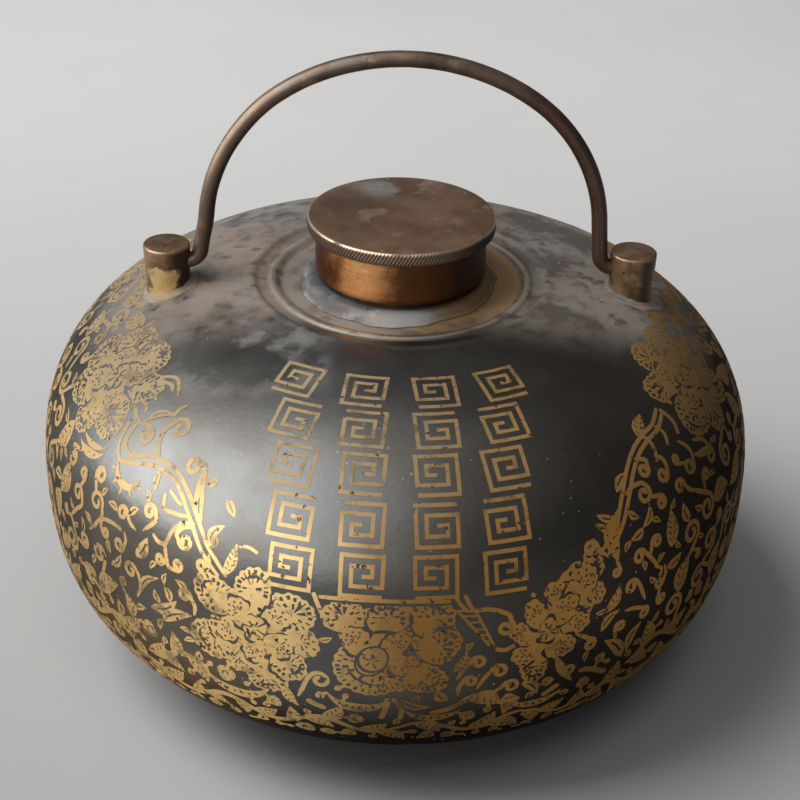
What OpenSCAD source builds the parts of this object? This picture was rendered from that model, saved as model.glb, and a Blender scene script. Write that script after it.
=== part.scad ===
// Hot-water hand warmer: round spun vessel, screw cap on a threaded neck, wire bail between two posts.
// Millimetres. Origin at the centre of the base, +Z up, decorated front towards -Y.

/* [Vessel] */
// Greatest diameter of the body
body_d = 160; // [140:1:180]
// Height of the widest line above the base
equator_h = 46; // [40:0.5:54]
// Rise of the upper dome above the widest line
dome_h = 43.9; // [38:0.1:50]
// How much the lower dome is trimmed by the flat base
base_trim = 0.8; // [0.4:0.1:2]
// Upper dome roundness across
upper_across = 3.36; // [2.6:0.01:3.6]
// Upper dome roundness upwards
upper_up = 2.53; // [2.2:0.01:3]
// Lower dome roundness across
lower_across = 3.11; // [2.6:0.01:3.6]
// Lower dome roundness downwards
lower_down = 2.57; // [2.2:0.01:3]
// Thickness of the sheet
wall = 1.2; // [0.8:0.1:2]
// Height of the lap inside the widest line
lap_h = 5; // [3:0.5:8]
// Gap between the two sheets in the lap
lap_gap = 0.15; // [0.05:0.05:0.4]
// Width of the standing ring
foot_w = 4; // [2:0.5:6]
// Depth of the dish in the base
dish_depth = 1.5; // [0.5:0.1:3]
// Run of the slope into the dish
dish_run = 2; // [1:0.5:4]
// Height of the bead along the lap
seam_bead = 1.4; // [0.8:0.1:2.5]

/* [Mouth] */
// Radius of the soft outer ridge
ridge_r = 32.6; // [31:0.1:36]
// Height of the soft outer ridge
ridge_h = 0.25; // [0.1:0.05:0.8]
// Radius of the raised ring
ring_r = 28.2; // [27:0.1:29]
// Width of the raised ring
ring_w = 0.8; // [0.4:0.1:1.2]
// Depth of the channel outside the raised ring
channel_depth = 0.7; // [0.3:0.05:1]
// Drop of the raised ring below the shoulder
ring_drop = 0.1; // [0:0.05:0.5]
// Outer radius of the flat floor round the neck
well_r = 26; // [24.5:0.1:26.5]
// Depth of that floor below the shoulder
well_depth = 1; // [0.5:0.1:2]

/* [Neck] */
// Outside radius of the neck below the thread
neck_r = 15.3; // [14:0.1:16]
// Radius of the filling bore
bore_r = 12.8; // [11:0.1:13.2]
// Radius of the neck's flange
flange_r = 20; // [18.5:0.1:21]
// Thickness of the flange
flange_t = 1.2; // [0.8:0.1:2]
// Length of the neck below the shell
neck_tail = 3; // [1:0.5:6]
// Gap between the neck and its hole
neck_fit = 0.1; // [0.05:0.05:0.3]
// Width of solder outside the flange
solder_w = 2.5; // [1:0.1:3]
// Rise of solder above the flange
solder_rise = 1.7; // [0.8:0.1:2.2]
// Gap between solder and the faces it runs over
solder_gap = 0.05; // [0.02:0.01:0.1]

/* [Cap] */
// Diameter of the knurled crown
crown_d = 41; // [39:0.1:44]
// Thickness of the crown
crown_t = 3; // [2.4:0.1:4]
// Bevel on the crown's edges
crown_bevel = 0.35; // [0.2:0.05:0.5]
// Number of knurl grooves
knurl_n = 120; // [80:1:140]
// Depth of the knurl grooves
knurl_depth = 0.3; // [0.15:0.05:0.4]
// Lean of the knurl grooves in degrees
knurl_lean = 30; // [15:1:40]
// Outside diameter of the skirt
skirt_d = 37.4; // [36.6:0.1:38.4]
// Height of the skirt
skirt_h = 9.4; // [8:0.1:12]
// Gap between the skirt and the solder ring
skirt_gap = 0.45; // [0.3:0.05:1]
// Thickness of the washer
washer_t = 1.4; // [0.8:0.1:2]
// Radius of the hole in the washer
washer_bore_r = 11.5; // [9:0.1:12]
// Gap round the washer
washer_gap = 0.4; // [0.2:0.05:0.8]

/* [Thread] */
// Rise of the thread in one turn
pitch = 3; // [2.8:0.1:4]
// Height of the thread ridge
ridge_out = 1; // [0.7:0.05:1.2]
// Width of the ridge at its root
root_w = 1.5; // [1.1:0.05:1.6]
// Width of the ridge at its crest
crest_w = 0.6; // [0.4:0.05:0.8]
// Gap between a crest and the facing root
thread_gap = 0.3; // [0.2:0.05:0.5]

/* [Posts] */
// Distance of each post from the middle
post_x = 51.2; // [48:0.1:56]
// Diameter of a post
post_d = 10.2; // [8.5:0.1:12]
// Height of a post above the shoulder
post_h = 10.1; // [8.5:0.1:14]
// Bevel on the top of a post
post_bevel = 0.7; // [0.3:0.1:1.2]
// Height of the pivot above the shoulder
pivot_h = 6.05; // [5:0.05:7]
// Depth of the pivot hole
hole_depth = 7.2; // [5:0.1:7.8]
// Leg of the fillet of solder round a post
fillet_w = 1.3; // [0.8:0.1:2]

/* [Bail] */
// Diameter of the wire
wire_d = 3.5; // [3:0.1:4]
// Radial clearance of the wire in its hole
pivot_clear = 0.1; // [0.05:0.01:0.1]
// Height of the bail above its pivot
bail_h = 46.8; // [43:0.1:54]
// Radius of the top of the bail
bail_top_r = 48.2; // [46:0.1:50]
// Half angle of the top arc in degrees
bail_top_a = 34; // [31:0.5:37]
// Splay of the legs in degrees
leg_splay = 5; // [2:0.5:7]
// Gap between a leg and its post
leg_gap = 0.35; // [0.3:0.05:1]
// Radius of the bend at the foot of a leg
bend_r = 2; // [1.9:0.05:2.2]
// Gap between the end of the wire and the bottom of its hole
end_gap = 0.6; // [0.3:0.1:1]

/* [Hidden] */
$fn = 96;
dome_steps = 26;
thread_steps = 40;
arc_steps = 9;
bend_steps = 6;
wire_sides = 18;
body_r = body_d / 2;
lower_h = equator_h + base_trim;

// One point of a dome, its outward direction, and the point moved inwards by the sheet
function dome_pt(t, h, a, b) = [body_r * pow(cos(t), 2 / a), h * pow(sin(t), 2 / b)];
function dome_grad(p, h, a, b) = [
  a / body_r * pow(max(p[0], 0) / body_r, a - 1),
  b / h * pow(max(p[1], 0) / h, b - 1)
];
function inward(p, h, a, b, d) = p - d * dome_grad(p, h, a, b) / norm(dome_grad(p, h, a, b));

// Height of the shoulder at a radius, and radius at a height, both on the outer face
function shoulder_z(r) = equator_h + dome_h * pow(1 - pow(r / body_r, upper_across), 1 / upper_up);
function upper_r(z) = body_r * pow(1 - pow((z - equator_h) / dome_h, upper_up), 1 / upper_across);

mould_r = ridge_r + 1.3;
mould_z = shoulder_z(mould_r);
floor_z = mould_z - well_depth;
upper_end = acos(pow(mould_r / body_r, upper_across / 2));
lower_end = asin(pow(equator_h / lower_h, lower_down / 2));
base_r = body_r * pow(cos(lower_end), 2 / lower_across);
hole_r = neck_r + neck_fit;

// Stack of the neck and the cap
flange_top = floor_z + flange_t;
solder_top = flange_top + solder_rise;
skirt_z = solder_top + skirt_gap;
crown_z = skirt_z + skirt_h;
neck_top = crown_z - washer_t;
thread_r = neck_r + ridge_out;
skirt_root_r = thread_r + thread_gap;
skirt_crest_r = skirt_root_r - ridge_out;
washer_r = skirt_crest_r - washer_gap;

// Posts and bail
post_r = post_d / 2;
wire_r = wire_d / 2;
foot_z = shoulder_z(post_x);
foot_dir = dome_grad([post_x, foot_z - equator_h], dome_h, upper_across, upper_up);
foot_tilt = atan2(foot_dir[0], foot_dir[1]);
pivot_z = foot_z + pivot_h;
post_top = foot_z + post_h;
leg_x = post_x - post_r - leg_gap - wire_r;
across_k = cos(leg_splay) - sin(bail_top_a);
down_k = cos(bail_top_a) - sin(leg_splay);
across_rest = leg_x - bail_top_r * sin(bail_top_a);
down_rest = bail_h - bail_top_r * (1 - cos(bail_top_a));
bail_det = across_k * cos(leg_splay) - down_k * sin(leg_splay);
bail_side_r = (across_rest * cos(leg_splay) - down_rest * sin(leg_splay)) / bail_det;
leg_len = (across_k * down_rest - down_k * across_rest) / bail_det;
bend_turn = 90 - leg_splay;
bend_cut = bend_r * tan(bend_turn / 2);
apex_z = pivot_z + bail_h;
stub_end = post_x - post_r + hole_depth - end_gap;
arch_z = apex_z - bail_top_r;
side_x = (bail_top_r - bail_side_r) * sin(bail_top_a);
side_z = arch_z + (bail_top_r - bail_side_r) * cos(bail_top_a);
bend_x = leg_x + bend_cut;

// Outlines of the sheet, outer face then inner face
upper_outer = [for (i = [0:dome_steps])
  dome_pt(upper_end * i / dome_steps, dome_h, upper_across, upper_up)];
upper_inner = [for (p = upper_outer) inward(p, dome_h, upper_across, upper_up, wall)];
mould = [
  [ridge_r + 0.5, ridge_h],
  [ridge_r - 0.4, ridge_h],
  [ridge_r - 1.4, -channel_depth * 0.7],
  [ring_r + ring_w / 2 + 0.7, -channel_depth],
  [ring_r + ring_w / 2, -ring_drop],
  [ring_r - ring_w / 2, -ring_drop],
  [well_r, -well_depth],
  [hole_r, -well_depth]
];
lower_outer = [for (i = [0:dome_steps])
  dome_pt(lower_end * i / dome_steps, lower_h, lower_across, lower_down)];
lower_inner = [for (p = lower_outer) inward(p, lower_h, lower_across, lower_down, wall)];

function flip_z(p) = [p[0], equator_h - p[1]];
function lift_z(p) = [p[0], equator_h + p[1]];
function reversed(v) = [for (i = [len(v) - 1:-1:0]) v[i]];

lap_top = equator_h + lap_h;
lap_r = upper_r(lap_top) - wall - lap_gap;
dish_r = base_r - foot_w - dish_run;

// Solid body bounded by the outer face of the upper half, grown by a gap, used to seat the fittings
module upper_envelope(gap) {
  rotate_extrude()
    polygon(concat(
      [[0, equator_h], [body_r + gap, equator_h]],
      [for (p = upper_outer) lift_z(inward(p, dome_h, upper_across, upper_up, -gap))],
      [[0, mould_z + gap]]
    ));
}

// Ridge of one thread: ring points follow the helix, with the root buried in the tube
function ridge_ring(a, z, root, crest) = [
  [root * cos(a), root * sin(a), z - root_w / 2],
  [crest * cos(a), crest * sin(a), z - crest_w / 2],
  [crest * cos(a), crest * sin(a), z + crest_w / 2],
  [root * cos(a), root * sin(a), z + root_w / 2]
];

module thread(root, crest, z_from, z_to, phase) {
  turns = (z_to - z_from) / pitch;
  rings = ceil(turns * thread_steps);
  start = 360 * (z_from - flange_top - phase) / pitch;
  pts = [for (i = [0:rings])
    each ridge_ring(start + 360 * turns * i / rings, z_from + (z_to - z_from) * i / rings, root, crest)];
  inside = root > crest;
  sides = [for (i = [0:rings - 1], k = [0:3])
    each [
      [4 * i + k, 4 * i + (k + 1) % 4, 4 * i + 4 + (k + 1) % 4],
      [4 * i + k, 4 * i + 4 + (k + 1) % 4, 4 * i + 4 + k]
    ]];
  e = 4 * rings;
  ends = [[3, 2, 1], [3, 1, 0], [e, e + 1, e + 2], [e, e + 2, e + 3]];
  faces = concat(sides, ends);
  polyhedron(pts, inside ? [for (f = faces) [f[2], f[1], f[0]]] : faces);
}

module upper_shell() {
  color([0.22, 0.20, 0.19])
    rotate_extrude()
      polygon(concat(
        [for (p = upper_outer) lift_z(p)],
        [for (p = mould) [p[0], mould_z + p[1]]],
        [for (p = reversed(mould)) [p[0], mould_z + p[1] - wall]],
        [for (p = reversed(upper_inner)) lift_z(p)]
      ));
}

module lower_shell() {
  color([0.18, 0.17, 0.16])
    rotate_extrude()
      polygon(concat(
        [[lap_r - wall, lap_top], [lap_r, lap_top], [lap_r, equator_h]],
        [for (p = lower_outer) flip_z(p)],
        [[base_r - foot_w, 0], [dish_r, dish_depth], [0, dish_depth]],
        [[0, dish_depth + wall], [dish_r, dish_depth + wall], [base_r - foot_w, wall]],
        [for (p = reversed(lower_inner)) if (p[1] > 3 * wall) flip_z(p)],
        [[lap_r - wall, equator_h - wall]]
      ));
}

module seam_braze() {
  color([0.72, 0.55, 0.30])
    rotate_extrude()
      polygon([
        [lap_r - wall * 0.8, lap_top],
        [upper_r(lap_top) - wall - solder_gap, lap_top],
        [upper_r(lap_top + seam_bead) - wall - solder_gap, lap_top + seam_bead]
      ]);
}

module filler_neck() {
  low = floor_z - wall - neck_tail;
  color([0.60, 0.42, 0.24])
    union() {
      rotate_extrude()
        polygon([
          [bore_r, low],
          [neck_r, low],
          [neck_r, floor_z],
          [flange_r, floor_z],
          [flange_r, flange_top],
          [neck_r, flange_top],
          [neck_r, neck_top],
          [bore_r, neck_top]
        ]);
      thread(neck_r - ridge_out / 2, thread_r, flange_top + solder_rise + root_w, neck_top - root_w, 0);
    }
}

module neck_braze() {
  edge_r = flange_r + solder_w;
  color([0.50, 0.52, 0.53])
    rotate_extrude()
      polygon([
        [flange_r + solder_gap, floor_z],
        [edge_r, floor_z],
        [edge_r, flange_top - 0.3],
        [edge_r - 0.7, flange_top + 0.2],
        [neck_r + 3, solder_top],
        [neck_r + solder_gap, solder_top],
        [neck_r + solder_gap, flange_top],
        [flange_r + solder_gap, flange_top]
      ]);
}

module post(side) {
  color([0.50, 0.38, 0.24])
    difference() {
      translate([side * post_x, 0, 0])
        union() {
          translate([0, 0, foot_z - post_r])
            cylinder(h = post_top - post_bevel - foot_z + post_r, r = post_r);
          translate([0, 0, post_top - post_bevel])
            cylinder(h = post_bevel, r1 = post_r, r2 = post_r - post_bevel);
        }
      upper_envelope(solder_gap);
      translate([side * (post_x - post_r - 1), 0, pivot_z])
        rotate([0, side * 90, 0])
          cylinder(h = hole_depth + 1, r = wire_r + pivot_clear);
    }
}

// Cone of solder square to the shoulder, with the post's own hole
module post_braze(side) {
  color([0.55, 0.50, 0.40])
    difference() {
      translate([side * post_x, 0, foot_z])
        rotate([0, side * foot_tilt, 0])
          translate([0, 0, -fillet_w])
            cylinder(h = 2 * fillet_w, r1 = post_r + 2 * fillet_w, r2 = post_r);
      translate([side * post_x, 0, foot_z - post_r])
        cylinder(h = 2 * post_r, r = post_r + solder_gap);
      upper_envelope(solder_gap);
    }
}

module left_post() {
  post(-1);
}

module right_post() {
  post(1);
}

module left_post_braze() {
  post_braze(-1);
}

module right_post_braze() {
  post_braze(1);
}

module cap_crown() {
  crown_r = crown_d / 2;
  groove = knurl_depth * sqrt(2);
  color([0.33, 0.24, 0.18])
    difference() {
      rotate_extrude()
        polygon([
          [0, crown_z],
          [crown_r - crown_bevel, crown_z],
          [crown_r, crown_z + crown_bevel],
          [crown_r, crown_z + crown_t - crown_bevel],
          [crown_r - crown_bevel, crown_z + crown_t],
          [0, crown_z + crown_t]
        ]);
      for (i = [0:knurl_n - 1])
        rotate([0, 0, 360 * i / knurl_n])
          translate([crown_r, 0, crown_z + crown_t / 2])
            rotate([-knurl_lean, 0, 0])
              rotate([0, 0, 45])
                cube([groove, groove, 3 * crown_t], center = true);
    }
}

module cap_skirt() {
  color([0.55, 0.33, 0.17])
    union() {
      rotate_extrude()
        polygon([
          [skirt_root_r, skirt_z],
          [skirt_d / 2, skirt_z],
          [skirt_d / 2, crown_z],
          [skirt_root_r, crown_z]
        ]);
      thread(skirt_root_r + ridge_out / 2, skirt_crest_r,
        skirt_z + root_w, crown_z - washer_t - root_w, pitch / 2);
    }
}

module seal_washer() {
  color([0.25, 0.16, 0.11])
    translate([0, 0, neck_top])
      difference() {
        cylinder(h = washer_t, r = washer_r);
        translate([0, 0, -1])
          cylinder(h = washer_t + 2, r = washer_bore_r);
      }
}

// Rings of the wire from the top of the bail to the bend at the foot of the right leg: x, z, heading, radius
function arc_ring(cx, cz, r, a, w) = [cx + r * sin(a), cz + r * cos(a), a, w];
function wire_half() = concat(
  [for (i = [0:arc_steps]) arc_ring(0, arch_z, bail_top_r, bail_top_a * i / arc_steps, wire_r)],
  [for (i = [1:arc_steps])
    arc_ring(side_x, side_z, bail_side_r, bail_top_a + (bend_turn - bail_top_a) * i / arc_steps, wire_r)],
  [for (i = [0:bend_steps])
    arc_ring(bend_x, pivot_z + bend_r, -bend_r, bend_turn * (1 - i / bend_steps),
      wire_r * (1 - 0.04 * i / bend_steps))],
  [[bend_x + wire_r / 2, pivot_z, 0, wire_r * 0.96]]
);
function wire_path(half) = concat(
  [for (i = [len(half) - 1:-1:1]) [-half[i][0], half[i][1], -half[i][2], half[i][3]]],
  half
);

module swept_wire(path) {
  last = len(path) - 1;
  pts = [for (q = path, k = [0:wire_sides - 1])
    [
      q[0] + q[3] * cos(360 * k / wire_sides) * sin(q[2]),
      q[3] * sin(360 * k / wire_sides),
      q[1] + q[3] * cos(360 * k / wire_sides) * cos(q[2])
    ]];
  sides = [for (i = [0:last - 1], k = [0:wire_sides - 1])
    let (a = wire_sides * i, b = a + wire_sides, m = (k + 1) % wire_sides)
    each [[a + k, a + m, b + k], [a + m, b + m, b + k]]];
  ends = [for (k = [1:wire_sides - 2])
    each [[0, k + 1, k], [wire_sides * last, wire_sides * last + k, wire_sides * last + k + 1]]];
  polyhedron(pts, concat(sides, ends));
}

module pivot_stub() {
  translate([bend_x, 0, pivot_z])
    rotate([0, 90, 0])
      cylinder(h = stub_end - bend_x, r = wire_r);
}

module bail_handle() {
  color([0.38, 0.28, 0.20])
    union() {
      swept_wire(wire_path(wire_half()));
      pivot_stub();
      mirror([1, 0, 0])
        pivot_stub();
    }
}

upper_shell();
lower_shell();
seam_braze();
filler_neck();
neck_braze();
left_post();
right_post();
left_post_braze();
right_post_braze();
cap_crown();
cap_skirt();
seal_washer();
bail_handle();
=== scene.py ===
import random
from math import acos, asin, atan2, ceil, cos, degrees, dist, floor, hypot, inf, pi, radians, sin, tan

import bpy
from mathutils import Matrix, Vector
from mathutils.geometry import delaunay_2d_cdt


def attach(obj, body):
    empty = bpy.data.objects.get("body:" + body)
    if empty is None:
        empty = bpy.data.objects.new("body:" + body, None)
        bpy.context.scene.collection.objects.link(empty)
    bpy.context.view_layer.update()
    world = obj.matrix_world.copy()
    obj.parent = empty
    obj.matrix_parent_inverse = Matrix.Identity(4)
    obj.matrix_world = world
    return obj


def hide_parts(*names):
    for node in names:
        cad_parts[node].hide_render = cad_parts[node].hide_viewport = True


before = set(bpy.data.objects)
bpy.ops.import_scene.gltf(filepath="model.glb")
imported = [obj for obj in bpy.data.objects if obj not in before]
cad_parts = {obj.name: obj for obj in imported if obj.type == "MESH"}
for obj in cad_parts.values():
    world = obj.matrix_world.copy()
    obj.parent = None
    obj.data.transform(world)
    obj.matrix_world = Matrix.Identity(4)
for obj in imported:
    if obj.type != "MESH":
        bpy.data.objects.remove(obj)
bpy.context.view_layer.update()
mm = 0.001
print("frame loaded")

# Body outline, the same values as the solids
bodyForm = {
    "radius": 80.0, "equator": 46.0, "domeHeight": 43.9, "lowerHeight": 46.8,
    "upperAcross": 3.36, "upperUp": 2.53, "lowerAcross": 3.11, "lowerDown": 2.57,
    "wall": 1.2, "lap": 5.0, "lapWall": (77.3, 78.5), "insideDrop": 4.0,
    "standing": (4.0, 6.0), "dish": (1.5, 2.7), "steps": 150, "around": 256, "sharp": 0.6,
}
# Steps round the mouth as (radius, height over the shoulder line)
mouthForm = {
    "ridge": 32.6, "meet": 1.3, "soften": 0.6,
    "mould": ((33.1, 0.25), (32.2, 0.25), (31.2, -0.49), (29.3, -0.7), (28.6, -0.1), (27.8, -0.1), (26.0, -1.0),
              (15.4, -1.0)),
}


def shoulderZ(r):
    f = bodyForm
    rise = (1 - (r / f["radius"]) ** f["upperAcross"]) ** (1 / f["upperUp"])
    return f["equator"] + f["domeHeight"] * rise


def domePoint(t, height, across, up):
    return bodyForm["radius"] * cos(t) ** (2 / across), height * sin(t) ** (2 / up)


def outerLine():
    f = bodyForm
    rMouth = mouthForm["ridge"] + mouthForm["meet"]
    tTop = acos((rMouth / f["radius"]) ** (f["upperAcross"] / 2))
    tLow = asin((f["equator"] / f["lowerHeight"]) ** (f["lowerDown"] / 2))
    n = f["steps"]
    upper = [domePoint(tTop * i / n, f["domeHeight"], f["upperAcross"], f["upperUp"]) for i in range(n + 1)]
    lower = [domePoint(tLow * i / n, f["lowerHeight"], f["lowerAcross"], f["lowerDown"]) for i in range(n + 1)]
    return ([(r, f["equator"] + z) for r, z in upper], [(r, f["equator"] - z) for r, z in lower])


upperLine, lowerLine = outerLine()


# v is the length along the outline from the widest line, up is positive
def measureLine():
    rows = []
    for line, sign in ((lowerLine, -1), (upperLine, 1)):
        v, part, last = 0.0, [], line[0]
        for r, z in line:
            v += hypot(r - last[0], z - last[1])
            last = (r, z)
            part.append((sign * v, r, z))
        rows += part[::-1] if sign < 0 else part[1:]
    return rows


surfaceRows = measureLine()


def onLine(v):
    lo, hi = 0, len(surfaceRows) - 1
    v = min(max(v, surfaceRows[0][0]), surfaceRows[-1][0])
    while hi - lo > 1:
        mid = (lo + hi) // 2
        if surfaceRows[mid][0] <= v:
            lo = mid
        else:
            hi = mid
    a, b = surfaceRows[lo], surfaceRows[hi]
    k = (v - a[0]) / (b[0] - a[0])
    dr, dz = b[1] - a[1], b[2] - a[2]
    size = hypot(dr, dz)
    return a[1] + k * dr, a[2] + k * dz, dz / size, -dr / size


# turn is measured from the front, positive to the right
def onBody(turn, v, lift):
    r, z, nr, nz = onLine(v)
    r, z = r + lift * nr, z + lift * nz
    return (r * sin(turn) * mm, -r * cos(turn) * mm, z * mm)


def polar(r, a):
    return r * cos(a), r * sin(a)


def clip(u):
    return min(1, max(0, u))


# Sum of waves along a, each as (size, count, lead), where the leads are shares of a phase
def ripple(a, waves, phase=1, total=0):
    for size, count, lead in waves:
        total += size * sin(count * a + lead * phase)
    return total


def putIn(name, data):
    obj = bpy.data.objects.new(name, data)
    bpy.context.scene.collection.objects.link(obj)
    return obj


# New mesh piece that rides on a body and may stand for a node of the frame
def newPiece(name, shape, material, body, node=None, sharp=None):
    mesh = bpy.data.meshes.new(name)
    mesh.from_pydata(shape[0], [], shape[1])
    mesh.validate()
    mesh.update()
    mesh.polygons.foreach_set("use_smooth", [True] * len(mesh.polygons))
    if sharp:
        mesh.set_sharp_from_angle(angle=sharp)
    mesh.materials.append(material)
    obj = putIn(name, mesh)
    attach(obj, body)
    if node:
        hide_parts(node)
    return obj


# Turned form from a closed outline of (r, z), points on the axis allowed
def latheMesh(line, around, shape=None):
    verts, faces, rings = [], [], []
    for i, (r, z) in enumerate(line):
        if r < 1e-6:
            rings.append([len(verts)])
            verts.append((0, 0, z * mm))
            continue
        ring = []
        for k in range(around):
            a = 2 * pi * k / around
            rr, zz = shape(i, a, r, z) if shape else (r, z)
            ring.append(len(verts))
            verts.append((rr * cos(a) * mm, rr * sin(a) * mm, zz * mm))
        rings.append(ring)
    count = len(rings)
    for i in range(count):
        a, b = rings[i], rings[(i + 1) % count]
        if len(a) == 1 and len(b) == 1:
            continue
        for k in range(around):
            m = (k + 1) % around
            if len(a) == 1:
                faces.append((a[0], b[m], b[k]))
            elif len(b) == 1:
                faces.append((a[k], a[m], b[0]))
            else:
                faces.append((a[k], a[m], b[m], b[k]))
    return verts, faces


# Rounds the corners of an outline with short arcs
def softened(line, reach, parts=4, most=0.45):
    out = [line[0]]
    for a, p, b in zip(line, line[1:], line[2:]):
        la, lb = dist(a, p), dist(b, p)
        d = min(reach, la * most, lb * most)
        s, e = ([p[j] + (q[j] - p[j]) * d / far for j in (0, 1)] for q, far in ((a, la), (b, lb)))
        for t in (k / parts for k in range(parts + 1)):
            out.append(tuple((1 - t) ** 2 * s[j] + 2 * t * (1 - t) * p[j] + t * t * e[j] for j in (0, 1)))
    return out + [line[-1]]


# Shader helpers
def newMaterial(name, tint=None):
    mat = bpy.data.materials.new(name)
    mat.use_nodes = True
    shader = mat.node_tree.nodes["Principled BSDF"]
    if tint:
        shader.inputs["Specular Tint"].default_value = (*tint, 1)
    return mat, mat.node_tree, shader


def addNode(tree, kind, **values):
    node = tree.nodes.new(kind)
    for key, value in values.items():
        if key in node.inputs:
            node.inputs[key].default_value = value
        else:
            setattr(node, key, value)
    return node


# Sets a socket to a number or a colour, or links it to another socket
def feed(tree, socket, value):
    if isinstance(value, (int, float)):
        socket.default_value = value
    elif isinstance(value, tuple):
        socket.default_value = (*value, 1) if len(value) == 3 and socket.type == "RGBA" else value
    else:
        tree.links.new(value, socket)


def feedAll(tree, node, *values):
    for socket, value in values:
        feed(tree, node.inputs[socket], value)
    return node


def calc(tree, kind, a, b=0.0, clamp=True):
    node = addNode(tree, "ShaderNodeMath", operation=kind, use_clamp=clamp)
    return feedAll(tree, node, (0, a), (1, b)).outputs[0]


def times(tree, mask, *others):
    for other in others:
        mask = calc(tree, "MULTIPLY", mask, other)
    return mask


# a + b * share, with no clamp
def plus(tree, a, b, share=1.0):
    part = b if share == 1.0 else calc(tree, "MULTIPLY", b, share, False)
    return calc(tree, "ADD", a, part, False)


# Soft step of a value from 0 at low to 1 at high
def ramp(tree, value, low, high, a=0.0, b=1.0):
    node = addNode(tree, "ShaderNodeMapRange", interpolation_type="SMOOTHSTEP")
    return feedAll(tree, node, *enumerate((value, low, high, a, b))).outputs[0]


def mixed(tree, mask, a, b):
    node = addNode(tree, "ShaderNodeMix", data_type="RGBA")
    return feedAll(tree, node, (0, mask), (6, a), (7, b)).outputs[2]


def blended(tree, mask, a, b):
    node = addNode(tree, "ShaderNodeMix", data_type="FLOAT")
    return feedAll(tree, node, (0, mask), (2, a), (3, b)).outputs[0]


def splitUp(tree, vector):
    return feedAll(tree, addNode(tree, "ShaderNodeSeparateXYZ"), (0, vector)).outputs


def objectCoords(tree):
    return addNode(tree, "ShaderNodeTexCoord").outputs["Object"]


# Place on the object in metres, and its distance r from the upright axis
def placeOf(tree):
    x, y, z = splitUp(tree, objectCoords(tree))
    flat = plus(tree, calc(tree, "MULTIPLY", x, x, False), calc(tree, "MULTIPLY", y, y, False))
    return {"x": x, "y": y, "z": z, "r": calc(tree, "SQRT", flat, 0, False)}


# Node group with plain numbers as inputs and one mask as its output
def newGroup(name, **inputs):
    tree = bpy.data.node_groups.new(name, "ShaderNodeTree")
    for label, value in inputs.items():
        tree.interface.new_socket(label, in_out="INPUT", socket_type="NodeSocketFloat").default_value = value
    tree.interface.new_socket("Mask", in_out="OUTPUT", socket_type="NodeSocketFloat")
    give, take = tree.nodes.new("NodeGroupInput"), tree.nodes.new("NodeGroupOutput")
    return tree, give.outputs, take.inputs["Mask"]


def blotchGroup():
    tree, give, mask = newGroup("blotches", Scale=40, Detail=5, Low=0.4, High=0.6, Shift=0)
    slide = addNode(tree, "ShaderNodeVectorMath", operation="ADD")
    feedAll(tree, slide, (0, objectCoords(tree)), (1, give["Shift"]))
    noise = addNode(tree, "ShaderNodeTexNoise", Roughness=0.62)
    feedAll(tree, noise, ("Vector", slide.outputs[0]), ("Scale", give["Scale"]), ("Detail", give["Detail"]))
    feed(tree, mask, ramp(tree, noise.outputs[0], give["Low"], give["High"]))
    return tree


# Dots in the middle of some cells, the share of cells chosen by a channel of their colour
def dotMask(tree, give, where, channel):
    cells = addNode(tree, "ShaderNodeTexVoronoi")
    feedAll(tree, cells, ("Vector", where), ("Scale", give["Scale"]))
    parts = feedAll(tree, addNode(tree, "ShaderNodeSeparateColor"), (0, cells.outputs["Color"])).outputs
    near = calc(tree, "LESS_THAN", cells.outputs["Distance"], give["Size"])
    return times(tree, near, calc(tree, "LESS_THAN", parts[channel], give["Share"]))


def speckGroup():
    tree, give, mask = newGroup("specks", Scale=300, Size=0.2, Share=0.2)
    feed(tree, mask, dotMask(tree, give, objectCoords(tree), 0))
    return tree


# Short straight hair scratches: specks drawn out one way
def scratchGroup():
    tree, give, mask = newGroup("hairScratches", Scale=400, Size=0.1, Share=0.1, Lean=0.6)
    turn = addNode(tree, "ShaderNodeVectorRotate", rotation_type="AXIS_ANGLE", Axis=(0.2, 1, 0.3))
    feedAll(tree, turn, ("Vector", objectCoords(tree)), ("Angle", give["Lean"]))
    drawn = addNode(tree, "ShaderNodeVectorMath", operation="MULTIPLY")
    feedAll(tree, drawn, (0, turn.outputs[0]), (1, (0.07, 1, 1)))
    feed(tree, mask, dotMask(tree, give, drawn.outputs[0], 1))
    return tree


# Rings left by turning on the lathe
def turnedGroup():
    tree, give, mask = newGroup("turnedLines", Scale=900, Low=0.35, High=0.65)
    place = placeOf(tree)
    where = feedAll(tree, addNode(tree, "ShaderNodeCombineXYZ"), (0, place["r"]), (1, place["z"]))
    noise = addNode(tree, "ShaderNodeTexNoise", Detail=3)
    feedAll(tree, noise, ("Vector", where.outputs[0]), ("Scale", give["Scale"]))
    feed(tree, mask, ramp(tree, noise.outputs[0], give["Low"], give["High"]))
    return tree


blotches, specks, hairScratches, turnedLines = blotchGroup(), speckGroup(), scratchGroup(), turnedGroup()


def useGroup(tree, group, **values):
    return addNode(tree, "ShaderNodeGroup", node_tree=group, **values).outputs["Mask"]


def cloud(tree, scale, detail, low, high, shift=0):
    return useGroup(tree, blotches, Scale=scale, Detail=detail, Low=low, High=high, Shift=shift)


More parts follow.
